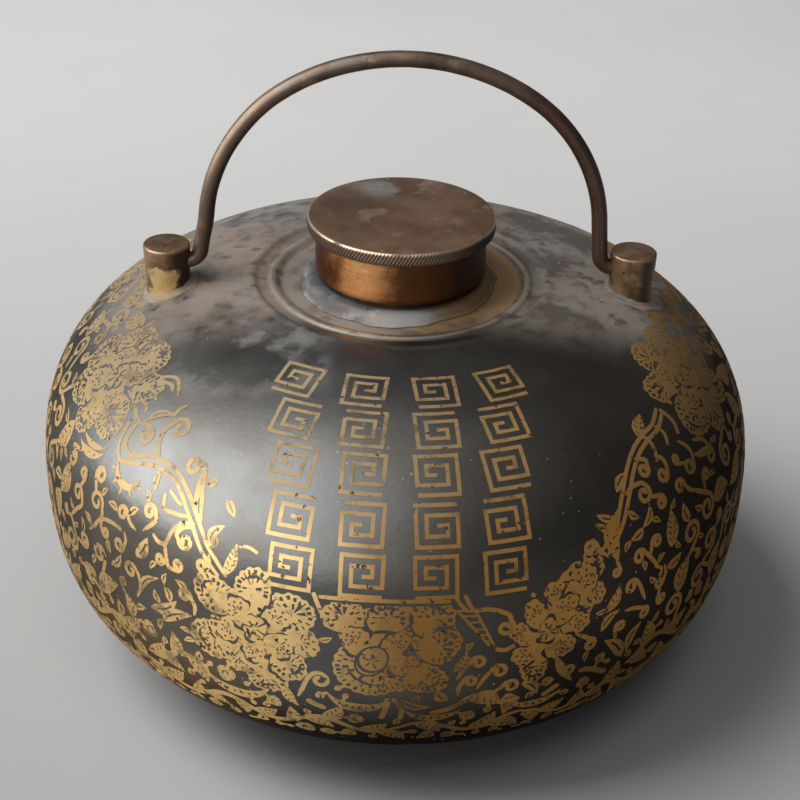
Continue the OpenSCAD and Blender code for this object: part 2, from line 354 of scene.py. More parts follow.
# Mask from a plan: a word is a value of place, a tuple that starts with a word is a soft step along
# that value, a tuple of numbers is a cloud, any other tuple multiplies its parts, and a list takes the
# strongest of its parts
def maskOf(tree, place, plan):
    if isinstance(plan, str):
        return place[plan]
    if isinstance(plan, (int, float)):
        return plan
    if isinstance(plan, tuple) and isinstance(plan[0], str):
        return ramp(tree, place[plan[0]], *plan[1:])
    if all(isinstance(part, (int, float)) for part in plan):
        return cloud(tree, *plan)
    kind = "MAXIMUM" if isinstance(plan, list) else "MULTIPLY"
    mask, *others = [maskOf(tree, place, part) for part in plan]
    for other in others:
        mask = calc(tree, kind, mask, other)
    return mask


def addBump(tree, shader, height, depth, strength):
    node = addNode(tree, "ShaderNodeBump", Strength=strength, Distance=depth)
    feed(tree, node.inputs["Height"], height)
    feed(tree, shader.inputs["Normal"], node.outputs[0])


def finish(tree, shader, colour=None, rough=None, metal=None):
    for key, value in (("Base Color", colour), ("Roughness", rough), ("Metallic", metal)):
        if value is not None:
            feed(tree, shader.inputs[key], value)


# Lays coats over a material's own look, each by its mask: plan, colour, and where given metal and roughness
def layCoats(tree, shader, place, coats):
    for name, (plan, *coat) in coats.items():
        place[name] = maskOf(tree, place, plan)
        for key, blend, value in zip(("Base Color", "Metallic", "Roughness"), (mixed, blended, blended), coat):
            socket = shader.inputs[key]
            now = socket.links[0].from_socket if socket.is_linked else socket.default_value
            feed(tree, socket, blend(tree, place[name], now, place.get(value, value)))


# Dark bronze patina, dusty over the shoulder, worn on the ring, coppery in the well, with painted shade to the
# right and low down
patinaLook = {
    "black": (0.180, 0.184, 0.179), "brown": (0.140, 0.119, 0.096), "tint": (0.26, 0.25, 0.24),
    # brown tone in random patches, and more of it toward the right as painted shade
    "warm": (((42, 7, 0.34, 0.68), 0.65), ("x", -0.03, 0.04, 0, 0.5)),
    "dust": (0.305, 0.232, 0.180), "greyDust": (0.285, 0.255, 0.224),
    "greyAt": [(33, 4, 0.42, 0.60, 5.4), ("x", 0.014, 0.034, 0, 0.75)],
    "hairs": {"Scale": 420, "Size": 0.07, "Share": 0.10, "Lean": 0.9},
    "dots": {"Scale": 640, "Size": 0.13, "Share": 0.22},
    "coats": {
        # painted shade: the patina darkens toward the right side and toward the bottom
        "deep": ([(("x", -0.022, 0.042, 0, 0.92), ("z", 0.050, 0.068, 1, 0.86)), ("z", 0.044, 0.022, 0, 0.85)],
                 (0.063, 0.054, 0.045)),
        # painted shade: near black on the lower right and along the bottom
        "pitch": ([(("x", 0.028, 0.062, 0, 0.9), ("z", 0.080, 0.062)),
                   (("z", 0.042, 0.026, 0, 0.85), ("x", -0.03, 0.02)),
                   (("z", 0.058, 0.038, 0, 0.9), ("x", 0.005, 0.035))], (0.028, 0.022, 0.017)),
        # lighter brown low on the left side
        "lowLeftBrown": (([("z", 0.050, 0.034, 0, 0.62), ("z", 0.070, 0.056, 0, 0.28)], ("x", -0.020, -0.044),
                  (130, 6, 0.22, 0.52, 9.8)), (0.36, 0.25, 0.135)),
        "dusted": ((("z", 0.0735, 0.0852), ("y", -0.034, -0.012),
                    [("x", 0.006, 0.032, 0.15, 1), ("x", -0.006, -0.032, 0.15, 1)],
                    [((58, 8, 0.28, 0.54, 3.1), (260, 7, 0.20, 0.52, 1.7)), ("x", 0.008, 0.028, 0, 0.5)],
                    ("x", 0.012, 0.034, 1, 0.9)), "dustTone"),
        "smoke": ((("z", 0.0805, 0.0845), ("x", -0.010, -0.022), ("y", -0.050, -0.040, 0, 0.7),
                   (95, 8, 0.44, 0.66, 6.3)), (0.30, 0.285, 0.265)),
        "copper": ((("r", 0.0258, 0.0272, 1, 0), (95, 6, 0.28, 0.58, 2.2), ("x", -0.014, 0.012, 0.3, 1)),
                   (0.45, 0.28, 0.135)),
        "haze": ((("r", 0.0258, 0.0272, 1, 0), ("x", 0.010, -0.012), (150, 6, 0.27, 0.54, 8.4)),
                 (0.285, 0.255, 0.224)),
        "crest": ((("r", 0.0272, 0.0279), ("r", 0.0284, 0.0291, 1, 0), ("z", 0.0882, 0.0888),
                   (130, 4, 0.30, 0.52, 6.0)), (0.50, 0.42, 0.33)),
        "scratch": ((0.55, "hairs"), (0.42, 0.40, 0.38)),
        "speck": (((24, 3, 0.46, 0.62, 4.4), "dots"), (0.50, 0.49, 0.46)),
    },
    "rough": (0.27, 0.38), "roughAt": (70, 6, 0.3, 0.7), "dull": ("x", 0.0, 0.06, 0, 0.22), "dustRough": 0.72,
    "skin": 0.9, "copperSkin": 0.6, "crestSkin": 0.85, "grain": (900, 4, 0.2, 0.8), "bump": (0.00004, 0.5),
}


def patinaMaterial():
    f = patinaLook
    mat, tree, shader = newMaterial("darkPatina", f["tint"])
    place = placeOf(tree)
    place["hairs"] = useGroup(tree, hairScratches, **f["hairs"])
    place["dots"] = useGroup(tree, specks, **f["dots"])
    place["dustTone"] = mixed(tree, maskOf(tree, place, f["greyAt"]), f["dust"], f["greyDust"])
    warm = calc(tree, "ADD", *(maskOf(tree, place, plan) for plan in f["warm"]))
    finish(tree, shader, mixed(tree, warm, f["black"], f["brown"]))
    layCoats(tree, shader, place, f["coats"])
    dust = maskOf(tree, place, ["dusted", "smoke", "haze"])
    rough = ramp(tree, cloud(tree, *f["roughAt"]), 0, 1, *f["rough"])
    rough = plus(tree, rough, maskOf(tree, place, f["dull"]))
    spoilt = maskOf(tree, place, ["speck", (f["copperSkin"], "copper")])
    metal = times(tree, calc(tree, "SUBTRACT", 1, dust), f["skin"], calc(tree, "SUBTRACT", 1, spoilt))
    metal = calc(tree, "MAXIMUM", metal, times(tree, place["crest"], f["crestSkin"]))
    finish(tree, shader, None, blended(tree, dust, rough, f["dustRough"]), metal)
    grain = plus(tree, cloud(tree, *f["grain"]), place["speck"])
    addBump(tree, shader, calc(tree, "SUBTRACT", grain, place["scratch"], False), *f["bump"])
    return mat


giltLook = {
    "bright": (1.0, 0.72, 0.33), "dull": (0.98, 0.65, 0.26), "tone": (55, 6, 0.30, 0.68, 0.7),
    "tint": (0.60, 0.52, 0.42),
    # painted shade: the gold darkens from the middle to the right, a little less at the far right
    "deepShadeTone": (0.34, 0.17, 0.04), "paleShadeTone": (0.53, 0.28, 0.072), "paleShadeAt": ("x", 0.010, 0.028),
    "film": (("z", 0.064, 0.080), (110, 6, 0.12, 0.46, 4.9), ("x", -0.01, 0.03, 1, 0.25)),
    "coats": {
        "old": (("x", -0.024, 0.004, 0, 0.94), "oldTone"),
        # painted shade: darker gold low down and at the far right
        "shadedLowAndRight": ([(("z", 0.042, 0.018, 0, 0.8), ("x", -0.035, 0.0, 0.1, 1)), ("x", 0.042, 0.068, 0, 0.9),
                  (("z", 0.052, 0.034, 0, 0.85), ("x", 0.012, 0.042))], (0.15, 0.084, 0.028)),
        # painted shade: duller, darker gold toward the far left
        "shadedFarLeft": (("x", -0.040, -0.060, 0, 0.8), (0.47, 0.325, 0.16)),
        "dusty": ((0.8, "film"), (0.40, 0.305, 0.19)),
        "bare": ([(620, 4, 0.60, 0.66, 1.3), ((260, 6, 0.48, 0.64, 2.9), (30, 4, 0.40, 0.60, 7.7), 0.6)],
                 (0.05, 0.042, 0.036)),
    },
    "rough": (0.68, 0.58), "dustRough": 0.72, "bareRough": 0.45, "leaf": 0.9, "bareLoss": 0.5, "dustLoss": 0.62,
    "grain": (1500, 3, 0.2, 0.8), "bump": (0.00003, 0.5),
}


def giltMaterial():
    f = giltLook
    mat, tree, shader = newMaterial("wornGilt", f["tint"])
    place = placeOf(tree)
    film = place["film"] = maskOf(tree, place, f["film"])
    place["oldTone"] = mixed(tree, maskOf(tree, place, f["paleShadeAt"]), f["deepShadeTone"], f["paleShadeTone"])
    tone = cloud(tree, *f["tone"])
    finish(tree, shader, mixed(tree, tone, f["dull"], f["bright"]))
    layCoats(tree, shader, place, f["coats"])
    rough = blended(tree, film, ramp(tree, tone, 0, 1, *f["rough"]), f["dustRough"])
    leaf = calc(tree, "SUBTRACT", f["leaf"], times(tree, place["bare"], f["bareLoss"]))
    clean = calc(tree, "SUBTRACT", 1, times(tree, film, f["dustLoss"]))
    finish(tree, shader, None, blended(tree, place["bare"], rough, f["bareRough"]), times(tree, leaf, clean))
    addBump(tree, shader, cloud(tree, *f["grain"]), *f["bump"])
    return mat


# Old metals that differ only in their values: two base tones, a worn tone, blotch and grain sizes
metalLooks = {
    "crown": {"deep": (0.115, 0.066, 0.040), "mid": (0.215, 0.132, 0.083), "worn": (0.27, 0.185, 0.13),
              "wornAt": (0.56, 0.70), "blotch": 85, "metal": 0.35, "rough": (0.40, 0.56),
              "speck": (0.30, 0.26, 0.22), "speckShare": 0.03, "turned": 0.10},
    "skirt": {"deep": (0.92, 0.40, 0.145), "mid": (1.0, 0.53, 0.225), "worn": (1.0, 0.60, 0.28),
              "wornAt": (0.58, 0.72), "blotch": 120, "metal": 1.0, "rough": (0.33, 0.41),
              "speck": (0.30, 0.13, 0.05), "speckShare": 0.008, "turned": 0.3},
    "post": {"deep": (0.19, 0.112, 0.062), "mid": (0.40, 0.25, 0.145), "worn": (0.52, 0.36, 0.22),
             "wornAt": (0.58, 0.72), "blotch": 190, "metal": 0.75, "rough": (0.30, 0.46),
             "speck": (0.09, 0.055, 0.035), "speckShare": 0.03, "turned": 0.2},
    "bail": {"deep": (0.105, 0.068, 0.045), "mid": (0.225, 0.145, 0.097), "worn": (0.42, 0.235, 0.135),
             "wornAt": (0.60, 0.72), "blotch": 95, "metal": 0.55, "rough": (0.26, 0.38),
             "speck": (0.40, 0.34, 0.26), "speckShare": 0.04, "turned": 0},
    "solder": {"deep": (0.12, 0.126, 0.128), "mid": (0.25, 0.253, 0.25), "worn": (0.44, 0.43, 0.42),
               "wornAt": (0.56, 0.70), "blotch": 230, "metal": 0.25, "rough": (0.42, 0.62),
               "speck": (0.05, 0.047, 0.045), "speckShare": 0.08, "turned": 0},
    "brass": {"deep": (0.30, 0.19, 0.07), "mid": (0.62, 0.43, 0.18), "worn": (0.75, 0.56, 0.28),
              "wornAt": (0.58, 0.72), "blotch": 140, "metal": 1.0, "rough": (0.26, 0.42),
              "speck": (0.14, 0.085, 0.04), "speckShare": 0.12, "turned": 0.3},
}
# What all of them share
metalGrain = {
    "base": (7, 0.32, 0.66), "wornScale": 1.7, "wornDetail": 6, "wornShift": 2.6, "roughScale": 2.4,
    "roughAt": (5, 0.3, 0.7, 4.1), "specks": {"Scale": 700, "Size": 0.26}, "pits": -0.6,
    "grain": (1100, 4, 0.25, 0.75), "lines": 1500, "lineLift": 3, "lineRough": 0.12, "bump": (0.00003, 0.5),
}
# Stains, smears, dust, bright wear, painted light and painted shade on each fitting
metalCoats = {
    "crownBronze": {
        "smudge": ((("y", 0.006, 0.013), ("x", 0.005, 0.010, 1, 0), ("x", -0.012, -0.006, 0.25, 1),
                    (75, 6, 0.48, 0.66, 9.3)), (0.30, 0.275, 0.25)),
        "rust": ((150, 6, 0.60, 0.70, 5.1), (0.17, 0.075, 0.035)),
        "rim": ((("r", 0.0199, 0.02035), ("z", 0.1029, 0.1035), (210, 4, 0.30, 0.52, 3.3)),
                (0.62, 0.46, 0.32), 0.95, 0.34),
        "teeth": ((("r", 0.02030, 0.02048), ("z", 0.1032, 0.1034, 1, 0), ("x", 0.008, 0.018, 0.75, 0),
                   ("x", -0.008, -0.018, 1, 0)), (0.25, 0.172, 0.115), 0.85, 0.42),
        # painted shade: the crown's side wall darkened on the left and near black on the right
        "shadedLeftWall": ((("r", 0.0199, 0.0202), ("z", 0.1034, 0.1030), ("x", -0.004, -0.014, 0, 0.65)),
                     (0.085, 0.052, 0.034), 0.4, 0.5),
        "shadedRightWall": ((("r", 0.0199, 0.0202), ("z", 0.1034, 0.1030), ("x", 0.007, 0.017, 0, 0.9)),
                      (0.020, 0.011, 0.007), 0.4, 0.5),
    },
    "postBronze": {
        # painted shade: the right half of each post near black
        "shadedPostSide": (([("x", 0.0514, 0.0538), (("x", -0.0510, -0.0486), ("x", 0.01, -0.01))],
                      ("z", 0.0955, 0.0950), 0.92), (0.026, 0.014, 0.008), 0.3, 0.5),
        "brass": ((("raggedZ", 0.0918, 0.0930, 1, 0), ("y", -0.0008, -0.0020), ("raggedX", -0.0544, -0.0528),
                   ("raggedX", -0.0486, -0.0470, 1, 0)), (0.98, 0.74, 0.34), 0.9, 0.27),
    },
    "postSolder": {
        "tan": ((("x", 0.01, -0.01), 0.8), (0.42, 0.325, 0.205), 0.1, 0.6),
        "dusted": (((240, 6, 0.38, 0.58, 1.9), 0.85), patinaLook["dust"], 0.0, 0.7),
    },
    "bailBronze": {
        "grey": ((("z", 0.122, 0.137), (140, 5, 0.40, 0.64, 3.9), 0.7), (0.185, 0.163, 0.142)),
        "spot": ((("z", 0.0990, 0.1000), ("z", 0.1022, 0.1034, 1, 0), ("x", -0.040, -0.042),
                  ("y", -0.0004, -0.0012), (520, 3, 0.44, 0.52, 2.0), 0.6), (0.50, 0.34, 0.13), 1.0, 0.34),
        # painted shade on the right side, painted light on the upper left side, darker low on the left leg
        "shadedRightSide": (("x", 0.004, 0.042, 0, 0.62), (0.115, 0.058, 0.036)),
        "litLeftSide": (("x", -0.012, -0.036, 0, 0.4), (0.36, 0.25, 0.175)),
        "leftLeg": ((("z", 0.118, 0.105, 0, 0.5), ("x", 0.0, -0.03)), (0.11, 0.068, 0.045)),
        # painted shade on the faces turned to the right
        "paintedShade": ((("facing", 0.05, 0.75, 0, 0.85), ("z", 0.136, 0.122)), (0.030, 0.019, 0.013), 0.3, 0.5),
    },
    "skirtCopper": {
        # painted shade: dark bands under the crown and at the lower edge
        "paintedShade": (([("z", 0.0995, 0.1008), ("z", 0.0926, 0.0913)], 0.75), (0.055, 0.030, 0.016), 0.6, 0.5),
        # painted highlight: the copper stays bright just left of the middle, with painted shade on either side
        "shadeBesideHighlight": ([("raggedX", -0.0056, 0.0012, 0, 0.88), ("raggedX", -0.0082, -0.0152, 0, 0.97)],
                    (0.125, 0.034, 0.008), 0.9, 0.32),
        # painted shade: near black on the right
        "shadedRightSide": (("raggedX", 0.006, 0.014, 0, 0.93), (0.018, 0.008, 0.004), 0.6, 0.45),
    },
    "neckSolder": {
        # painted shade: darker next to the skirt
        "paintedShade": ((("r", 0.0204, 0.0188), 0.55), (0.050, 0.054, 0.057), 0.2, 0.5),
        "pale": ((("z", 0.0894, 0.0884), ("x", 0.014, -0.006, 0.1, 1), (300, 7, 0.36, 0.60, 4.6)),
                 (0.42, 0.41, 0.395), 0.1, 0.55),
        "edge": ((("r", 0.0204, 0.0216, 0, 0.8), (210, 5, 0.30, 0.52, 8.8)), (0.13, 0.112, 0.096), 0.1, 0.6),
        "front": ((("y", -0.0175, -0.0195, 0, 0.6), ("x", 0.005, 0.010, 1, 0), ("x", -0.005, -0.010, 1, 0)),
                  (0.46, 0.45, 0.43), 0.1, 0.55),
        "brown": ((("x", 0.002, 0.013), (130, 5, 0.22, 0.44, 3.0), 0.92), (0.235, 0.140, 0.065)),
    },
}
# Uneven edges of some coats: a cloud, and how far it moves x and z
raggedEdges = {
    "postBronze": ((240, 5, 0.25, 0.75, 6.6), {"x": 0.0020, "z": 0.0022}),
    "skirtCopper": ((140, 5, 0.3, 0.7, 7.2), {"x": 0.003}),
}


def metalMaterial(name, look):
    f, g = metalLooks[look], metalGrain
    mat, tree, shader = newMaterial(name)
    place = placeOf(tree)
    colour = mixed(tree, cloud(tree, f["blotch"], *g["base"]), f["deep"], f["mid"])
    worn = cloud(tree, f["blotch"] * g["wornScale"], g["wornDetail"], *f["wornAt"], g["wornShift"])
    colour = mixed(tree, worn, colour, f["worn"])
    dots = useGroup(tree, specks, Share=f["speckShare"], **g["specks"])
    rough = ramp(tree, cloud(tree, f["blotch"] * g["roughScale"], *g["roughAt"]), 0, 1, *f["rough"])
    height = plus(tree, cloud(tree, *g["grain"]), dots, g["pits"])
    if f["turned"]:
        lines = useGroup(tree, turnedLines, Scale=g["lines"])
        height = plus(tree, height, lines, f["turned"] * g["lineLift"])
        rough = plus(tree, rough, lines, f["turned"] * g["lineRough"])
    finish(tree, shader, mixed(tree, dots, colour, f["speck"]), rough, f["metal"])
    # How far the face looks to the right
    place["facing"] = splitUp(tree, addNode(tree, "ShaderNodeTexCoord").outputs["Normal"])[0]
    if name in raggedEdges:
        edge, moves = raggedEdges[name]
        ragged = cloud(tree, *edge)
        for axis, far in moves.items():
            place["ragged" + axis.upper()] = plus(tree, place[axis], ragged, far)
    layCoats(tree, shader, place, metalCoats.get(name, {}))
    addBump(tree, shader, height, *g["bump"])
    return mat


leatherLook = {
    "deep": (0.030, 0.018, 0.011), "mid": (0.085, 0.050, 0.030), "blotch": (160, 5, 0.3, 0.7),
    "grain": (900, 6, 0.3, 0.7), "rough": (0.62, 0.82), "bump": (0.0001, 0.7),
}


def leatherMaterial():
    f = leatherLook
    mat, tree, shader = newMaterial("washerLeather")
    grain = cloud(tree, *f["grain"])
    colour = mixed(tree, cloud(tree, *f["blotch"]), f["deep"], f["mid"])
    finish(tree, shader, colour, ramp(tree, grain, 0, 1, *f["rough"]), 0.0)
    addBump(tree, shader, grain, *f["bump"])
    return mat


patina, gilt, washerLeather = patinaMaterial(), giltMaterial(), leatherMaterial()
metals = {name: metalMaterial(name, look) for name, look in (
    ("crownBronze", "crown"), ("skirtCopper", "skirt"), ("postBronze", "post"), ("bailBronze", "bail"),
    ("neckSolder", "solder"), ("postSolder", "solder"), ("neckBrass", "brass"), ("seamSolder", "solder"))}
print("finishes done")


# The point of the inner face that lies one wall in from the outline
def onInside(r, z):
    f, up = bodyForm, z >= bodyForm["equator"]
    names = ("domeHeight", "upperAcross", "upperUp") if up else ("lowerHeight", "lowerAcross", "lowerDown")
    h, a, b = (f[name] for name in names)
    gr = a / f["radius"] * (r / f["radius"]) ** (a - 1)
    gz = b / h * (abs(z - f["equator"]) / h) ** (b - 1)
    size = hypot(gr, gz)
    return r - f["wall"] * gr / size, z - (1 if up else -1) * f["wall"] * gz / size


def bodyShells():
    m, f = mouthForm, bodyForm
    zs, wall, middle = shoulderZ(m["ridge"] + m["meet"]), f["wall"], f["equator"]
    mould = softened([upperLine[-1]] + [(r, zs + up) for r, up in m["mould"]], m["soften"])[1:]
    under = [(r, z - wall) for r, z in mould[::-1]]
    inner = [onInside(r, z) for r, z in upperLine[::-3]]
    line = upperLine + mould + under + inner + [(f["radius"] - wall, middle)]
    newPiece("upperShell", latheMesh(line, f["around"]), patina, "vessel", "upper_shell", f["sharp"])
    lapIn, lapOut = f["lapWall"]
    ring, dish = (lowerLine[-1][0] - w for w in f["standing"])
    under, over = f["dish"]
    inner = [onInside(r, z) for r, z in lowerLine[::-3] if z < middle - f["insideDrop"]]
    line = ([(lapIn, middle + f["lap"]), (lapOut, middle + f["lap"]), (lapOut, middle)] + lowerLine
            + [(ring, 0), (dish, under), (0, under), (0, over), (dish, over), (ring, wall)]
            + inner + [(lapIn, middle - wall)])
    newPiece("lowerShell", latheMesh(line, f["around"]), patina, "vessel", "lower_shell", f["sharp"])


bodyShells()
print("body done")

# Gilding: a thin film that follows the body, drawn on the unrolled surface as (turn, v)
filmForm = {
    "proud": 0.06, "sunk": 0.04, "grid": 1.9, "step": 0.45, "mitre": 0.35, "grow": 5, "seed": 11,
    "cell": 0.5, "unroll": 75, "sharp": 0.7, "ends": (0.45, 0.45), "stalkEnds": (0.7, 0.7),
}
chance = random.Random(filmForm["seed"])
inked = {}  # where gold already lies, in cells of the unrolled surface
cellSize = filmForm["cell"]


def cellOf(turn, v):
    return int(floor(turn * filmForm["unroll"] / cellSize)), int(floor(v / cellSize))


# A film is a pair of lists, its points and its faces
def addFilm(film, flat, tris):
    verts, faces = film
    base, n, edges = len(verts), len(flat), set()
    for lift in (filmForm["proud"], -filmForm["sunk"]):
        verts.extend(onBody(t, v, lift) for t, v in flat)
    for a, b, c in tris:
        faces.append((base + a, base + b, base + c))
        faces.append((base + n + c, base + n + b, base + n + a))
        edges.update(((a, b), (b, c), (c, a)))
    for a, b in sorted(edges):
        if (b, a) not in edges:
            faces.append((base + a, base + n + a, base + n + b, base + b))
    for tri in tris:
        markCells([flat[i] for i in tri])


# Notes every cell that a triangle of gold covers
def markCells(p):
    wide = filmForm["unroll"]
    size = max(hypot((p[i][0] - p[i - 1][0]) * wide, p[i][1] - p[i - 1][1]) for i in range(3))
    n = max(1, ceil(size / cellSize))
    for i in range(n + 1):
        for j in range(n + 1 - i):
            k = n - i - j
            t, v = ((p[0][c] * i + p[1][c] * j + p[2][c] * k) / n for c in (0, 1))
            inked[cellOf(t, v)] = (t, v)


def isInside(p, loop):
    hit, q = False, loop[-1]
    for s in loop:
        if (s[1] > p[1]) != (q[1] > p[1]) and p[0] < (q[0] - s[0]) * (p[1] - s[1]) / (q[1] - s[1]) + s[0]:
            hit = not hit
        q = s
    return hit


def boxOf(loop):
    xs, ys = [p[0] for p in loop], [p[1] for p in loop]
    return min(xs), min(ys), max(xs), max(ys)


def boxed(holes):
    return [(hole, boxOf(hole)) for hole in holes]


def inHoles(p, holes):
    return any(b[0] < p[0] < b[2] and b[1] < p[1] < b[3] and isInside(p, hole) for hole, b in holes)


def steps(low, high, step):
    rows = []
    while low < high:
        rows.append(low)
        low += step
    return rows


# Triangles between closed loops and loose points, those whose middle passes the test
def cutPatch(loops, loose, isKept):
    points, edges = [], []
    for loop in loops:
        first = len(points)
        points += [Vector(p) for p in loop]
        edges += [(first + i, first + (i + 1) % len(loop)) for i in range(len(loop))]
    points += [Vector(p) for p in loose]
    verts, _, faces, *_ = delaunay_2d_cdt(points, edges, [], 0, 1e-4)
    kept = [tuple(f) for f in faces if isKept([sum(verts[i][k] for i in f) / 3 for k in (0, 1)])]
    used = sorted({i for f in kept for i in f})
    order = {i: k for k, i in enumerate(used)}
    return [verts[i] for i in used], [tuple(order[i] for i in f) for f in kept]


# Filled shape with holes, cut into triangles small enough to follow the body
def addPatch(film, outline, holes=()):
    midTurn = sum(p[0] for p in outline) / len(outline)
    midR = onLine(sum(p[1] for p in outline) / len(outline))[0]
    loops = [[((t - midTurn) * midR, v) for t, v in loop] for loop in (outline, *holes)]
    rim, bare = loops[0], boxed(loops[1:])
    x0, y0, x1, y1 = boxOf(rim)
    g = filmForm["grid"]
    loose = [(x, y) for x in steps(x0 + g / 2, x1, g) for y in steps(y0 + g / 2, y1, g) if isInside((x, y), rim)]
    verts, tris = cutPatch(loops, loose, lambda p: isInside(p, rim) and not inHoles(p, bare))
    addFilm(film, [(x / midR + midTurn, v) for x, v in verts], tris)


def ribbonSides(path, widths):
    left, right, last = [], [], len(path) - 1
    for i, (t, v) in enumerate(path):
        r = onLine(v)[0]
        dirs = []
        for a, b in ((i - 1, i), (i, i + 1)):
            if a >= 0 and b <= last:
                dx, dy = (path[b][0] - path[a][0]) * r, path[b][1] - path[a][1]
                size = hypot(dx, dy) or 1e-9
                dirs.append((-dy / size, dx / size))
        nx, ny = sum(d[0] for d in dirs), sum(d[1] for d in dirs)
        if len(dirs) == 2:  # a mitre, held short at sharp corners
            k = max(1 + dirs[0][0] * dirs[1][0] + dirs[0][1] * dirs[1][1], filmForm["mitre"])
            nx, ny = nx / k, ny / k
        h = widths[i] / 2
        left.append((t + nx * h / r, v + ny * h))
        right.append((t - nx * h / r, v - ny * h))
    return left, right


# Drawn line; ends gives the width at both ends as shares of the full width
def addLine(film, path, width, ends=filmForm["ends"]):
    n, grow = len(path), filmForm["grow"]
    shares = [i / max(n - 1, 1) for i in range(n)]
    widths = [width * min(1, ends[0] + u * grow, ends[1] + (1 - u) * grow) for u in shares]
    left, right = ribbonSides(path, widths)
    tris = []
    for i in range(n - 1):
        tris += [(i, n + i, n + i + 1), (i, n + i + 1, i + 1)]
    addFilm(film, left + right, tris)


# Smooth path through points given in degrees round the body and mm up it
def throughPoints(points):
    pts = [(radians(t), v) for t, v in points]
    out, n = [], len(pts)
    for i in range(n - 1):
        p = [pts[max(i - 1, 0)], pts[i], pts[i + 1], pts[min(i + 2, n - 1)]]
        r = onLine(p[1][1])[0]
        size = hypot((p[2][0] - p[1][0]) * r, p[2][1] - p[1][1])
        parts = max(2, round(size / filmForm["step"]))
        for k in range(parts):
            u = k / parts
            out.append(tuple(
                0.5 * (2 * p[1][j] + (p[2][j] - p[0][j]) * u
                       + (2 * p[0][j] - 5 * p[1][j] + 4 * p[2][j] - p[3][j]) * u * u
                       + (3 * p[1][j] - p[0][j] - 3 * p[2][j] + p[3][j]) * u ** 3) for j in (0, 1)))
    return out + [pts[-1]]


# Local millimetres round a spot on the body, turned by an angle
def atSpot(turn, v, angle=0):
    c, s = cos(radians(angle)), sin(radians(angle))

    def put(x, y):
        up = v + x * s + y * c
        return radians(turn) + (x * c - y * s) / onLine(up)[0], up
    return put


# Coils at the end of a drawn stalk, and of a sprig that fills a gap
curlForm = {"width": 0.95, "turns": 1.2, "shrink": 0.72, "lead": 0.5, "ends": (0.35, 0.9), "least": 14, "perMm": 9}
sprigForm = {"turns": 1.35, "shrink": 0.74, "ends": (0.8, 0.95), "clear": 1.03, "step": 0.5}


def coilPoints(form, radius, start, hand):
    n = max(curlForm["least"], int(form["turns"] * radius * curlForm["perMm"]))
    return [polar(radius * (1 - form["shrink"] * k / n), start + hand * form["turns"] * 2 * pi * k / n)
            for k in range(n + 1)]


# Stalk that runs into a coil round (turn, v)
def addCurl(film, turn, v, radius, tail, hand):
    f, spot, last = curlForm, atSpot(turn, v), tail[-1]
    start = atan2(last[1] - v, radians(last[0] - turn) * onLine(v)[0])
    coil = [spot(*p) for p in coilPoints(f, radius, start + hand * f["lead"], hand)]
    lead = throughPoints(list(tail) + [(degrees(coil[0][0]), coil[0][1])])[:-1]
    addLine(film, lead + coil, f["width"], f["ends"])


def slotHole(spot, a, b, w0, w1):
    dx, dy = b[0] - a[0], b[1] - a[1]
    size = hypot(dx, dy) or 1e-9
    nx, ny = -dy / size / 2, dx / size / 2
    return [spot(a[0] + nx * w0, a[1] + ny * w0), spot(a[0] - nx * w0, a[1] - ny * w0),
            spot(b[0] - nx * w1, b[1] - ny * w1), spot(b[0] + nx * w1, b[1] + ny * w1)]


# Leaf on a bent spine, with a bare vein or a row of slanted bare cuts
leafForm = {
    "veined": 1.3, "vein": (0.22, 0.74), "veinParts": 7, "veinWidth": (0.08, 0.05), "plump": (0.8, 0.9),
    "least": 8, "step": 0.5,
    "cuts": (0.2, 0.6), "cutStart": 0.25, "cutLong": 0.32, "cutRise": 0.7, "cutWidth": (0.3, 0.22),
}


def addLeaf(film, base, tip, width, bend, cuts):
    f = leafForm
    r = onLine((base[1] + tip[1]) / 2)[0]
    dx, dy = radians(tip[0] - base[0]) * r, tip[1] - base[1]
    size = hypot(dx, dy)
    spot = atSpot(base[0], base[1], degrees(atan2(dy, dx)) - 90)

    def spine(u):
        return bend * size * sin(pi * u), u * size

    def rim(u, side):
        x, y = spine(u)
        return spot(x + side * width / 2 * sin(pi * u ** f["plump"][0]) ** f["plump"][1], y)
    n = max(f["least"], int(size / f["step"]))
    outline = [rim(i / n, 1) for i in range(n + 1)] + [rim(1 - i / n, -1) for i in range(1, n)]
    holes = []
    if not cuts and width > f["veined"]:
        (low, high), n = f["vein"], f["veinParts"]
        side = [spine(low + (high - low) * i / n) for i in range(n + 1)]
        w = f["veinWidth"][0] + width * f["veinWidth"][1]
        holes.append([spot(x + w, y) for x, y in side] + [spot(x - w, y) for x, y in side[::-1]])
    for i in range(cuts):
        u = f["cuts"][0] + f["cuts"][1] * i / max(cuts - 1, 1)
        x, y = spine(u)
        h = width * f["cutLong"] * sin(pi * u)
        for s in (1, -1):
            ends = (x + s * f["cutStart"], y), (x + s * (f["cutStart"] + h), y + h * f["cutRise"])
            holes.append(slotHole(spot, *ends, *f["cutWidth"]))
    addPatch(film, outline, holes)


crescentForm = {
    "parts": 22, "beads": (0.25, 0.5), "bead": 0.4, "beadWidth": 0.45,
    "teeth": (0.12, 0.76), "tooth": (-0.4, 0.3, 0.9), "toothLean": 0.1, "toothWidth": 0.6, "toothEnds": (1, 0.3),
}


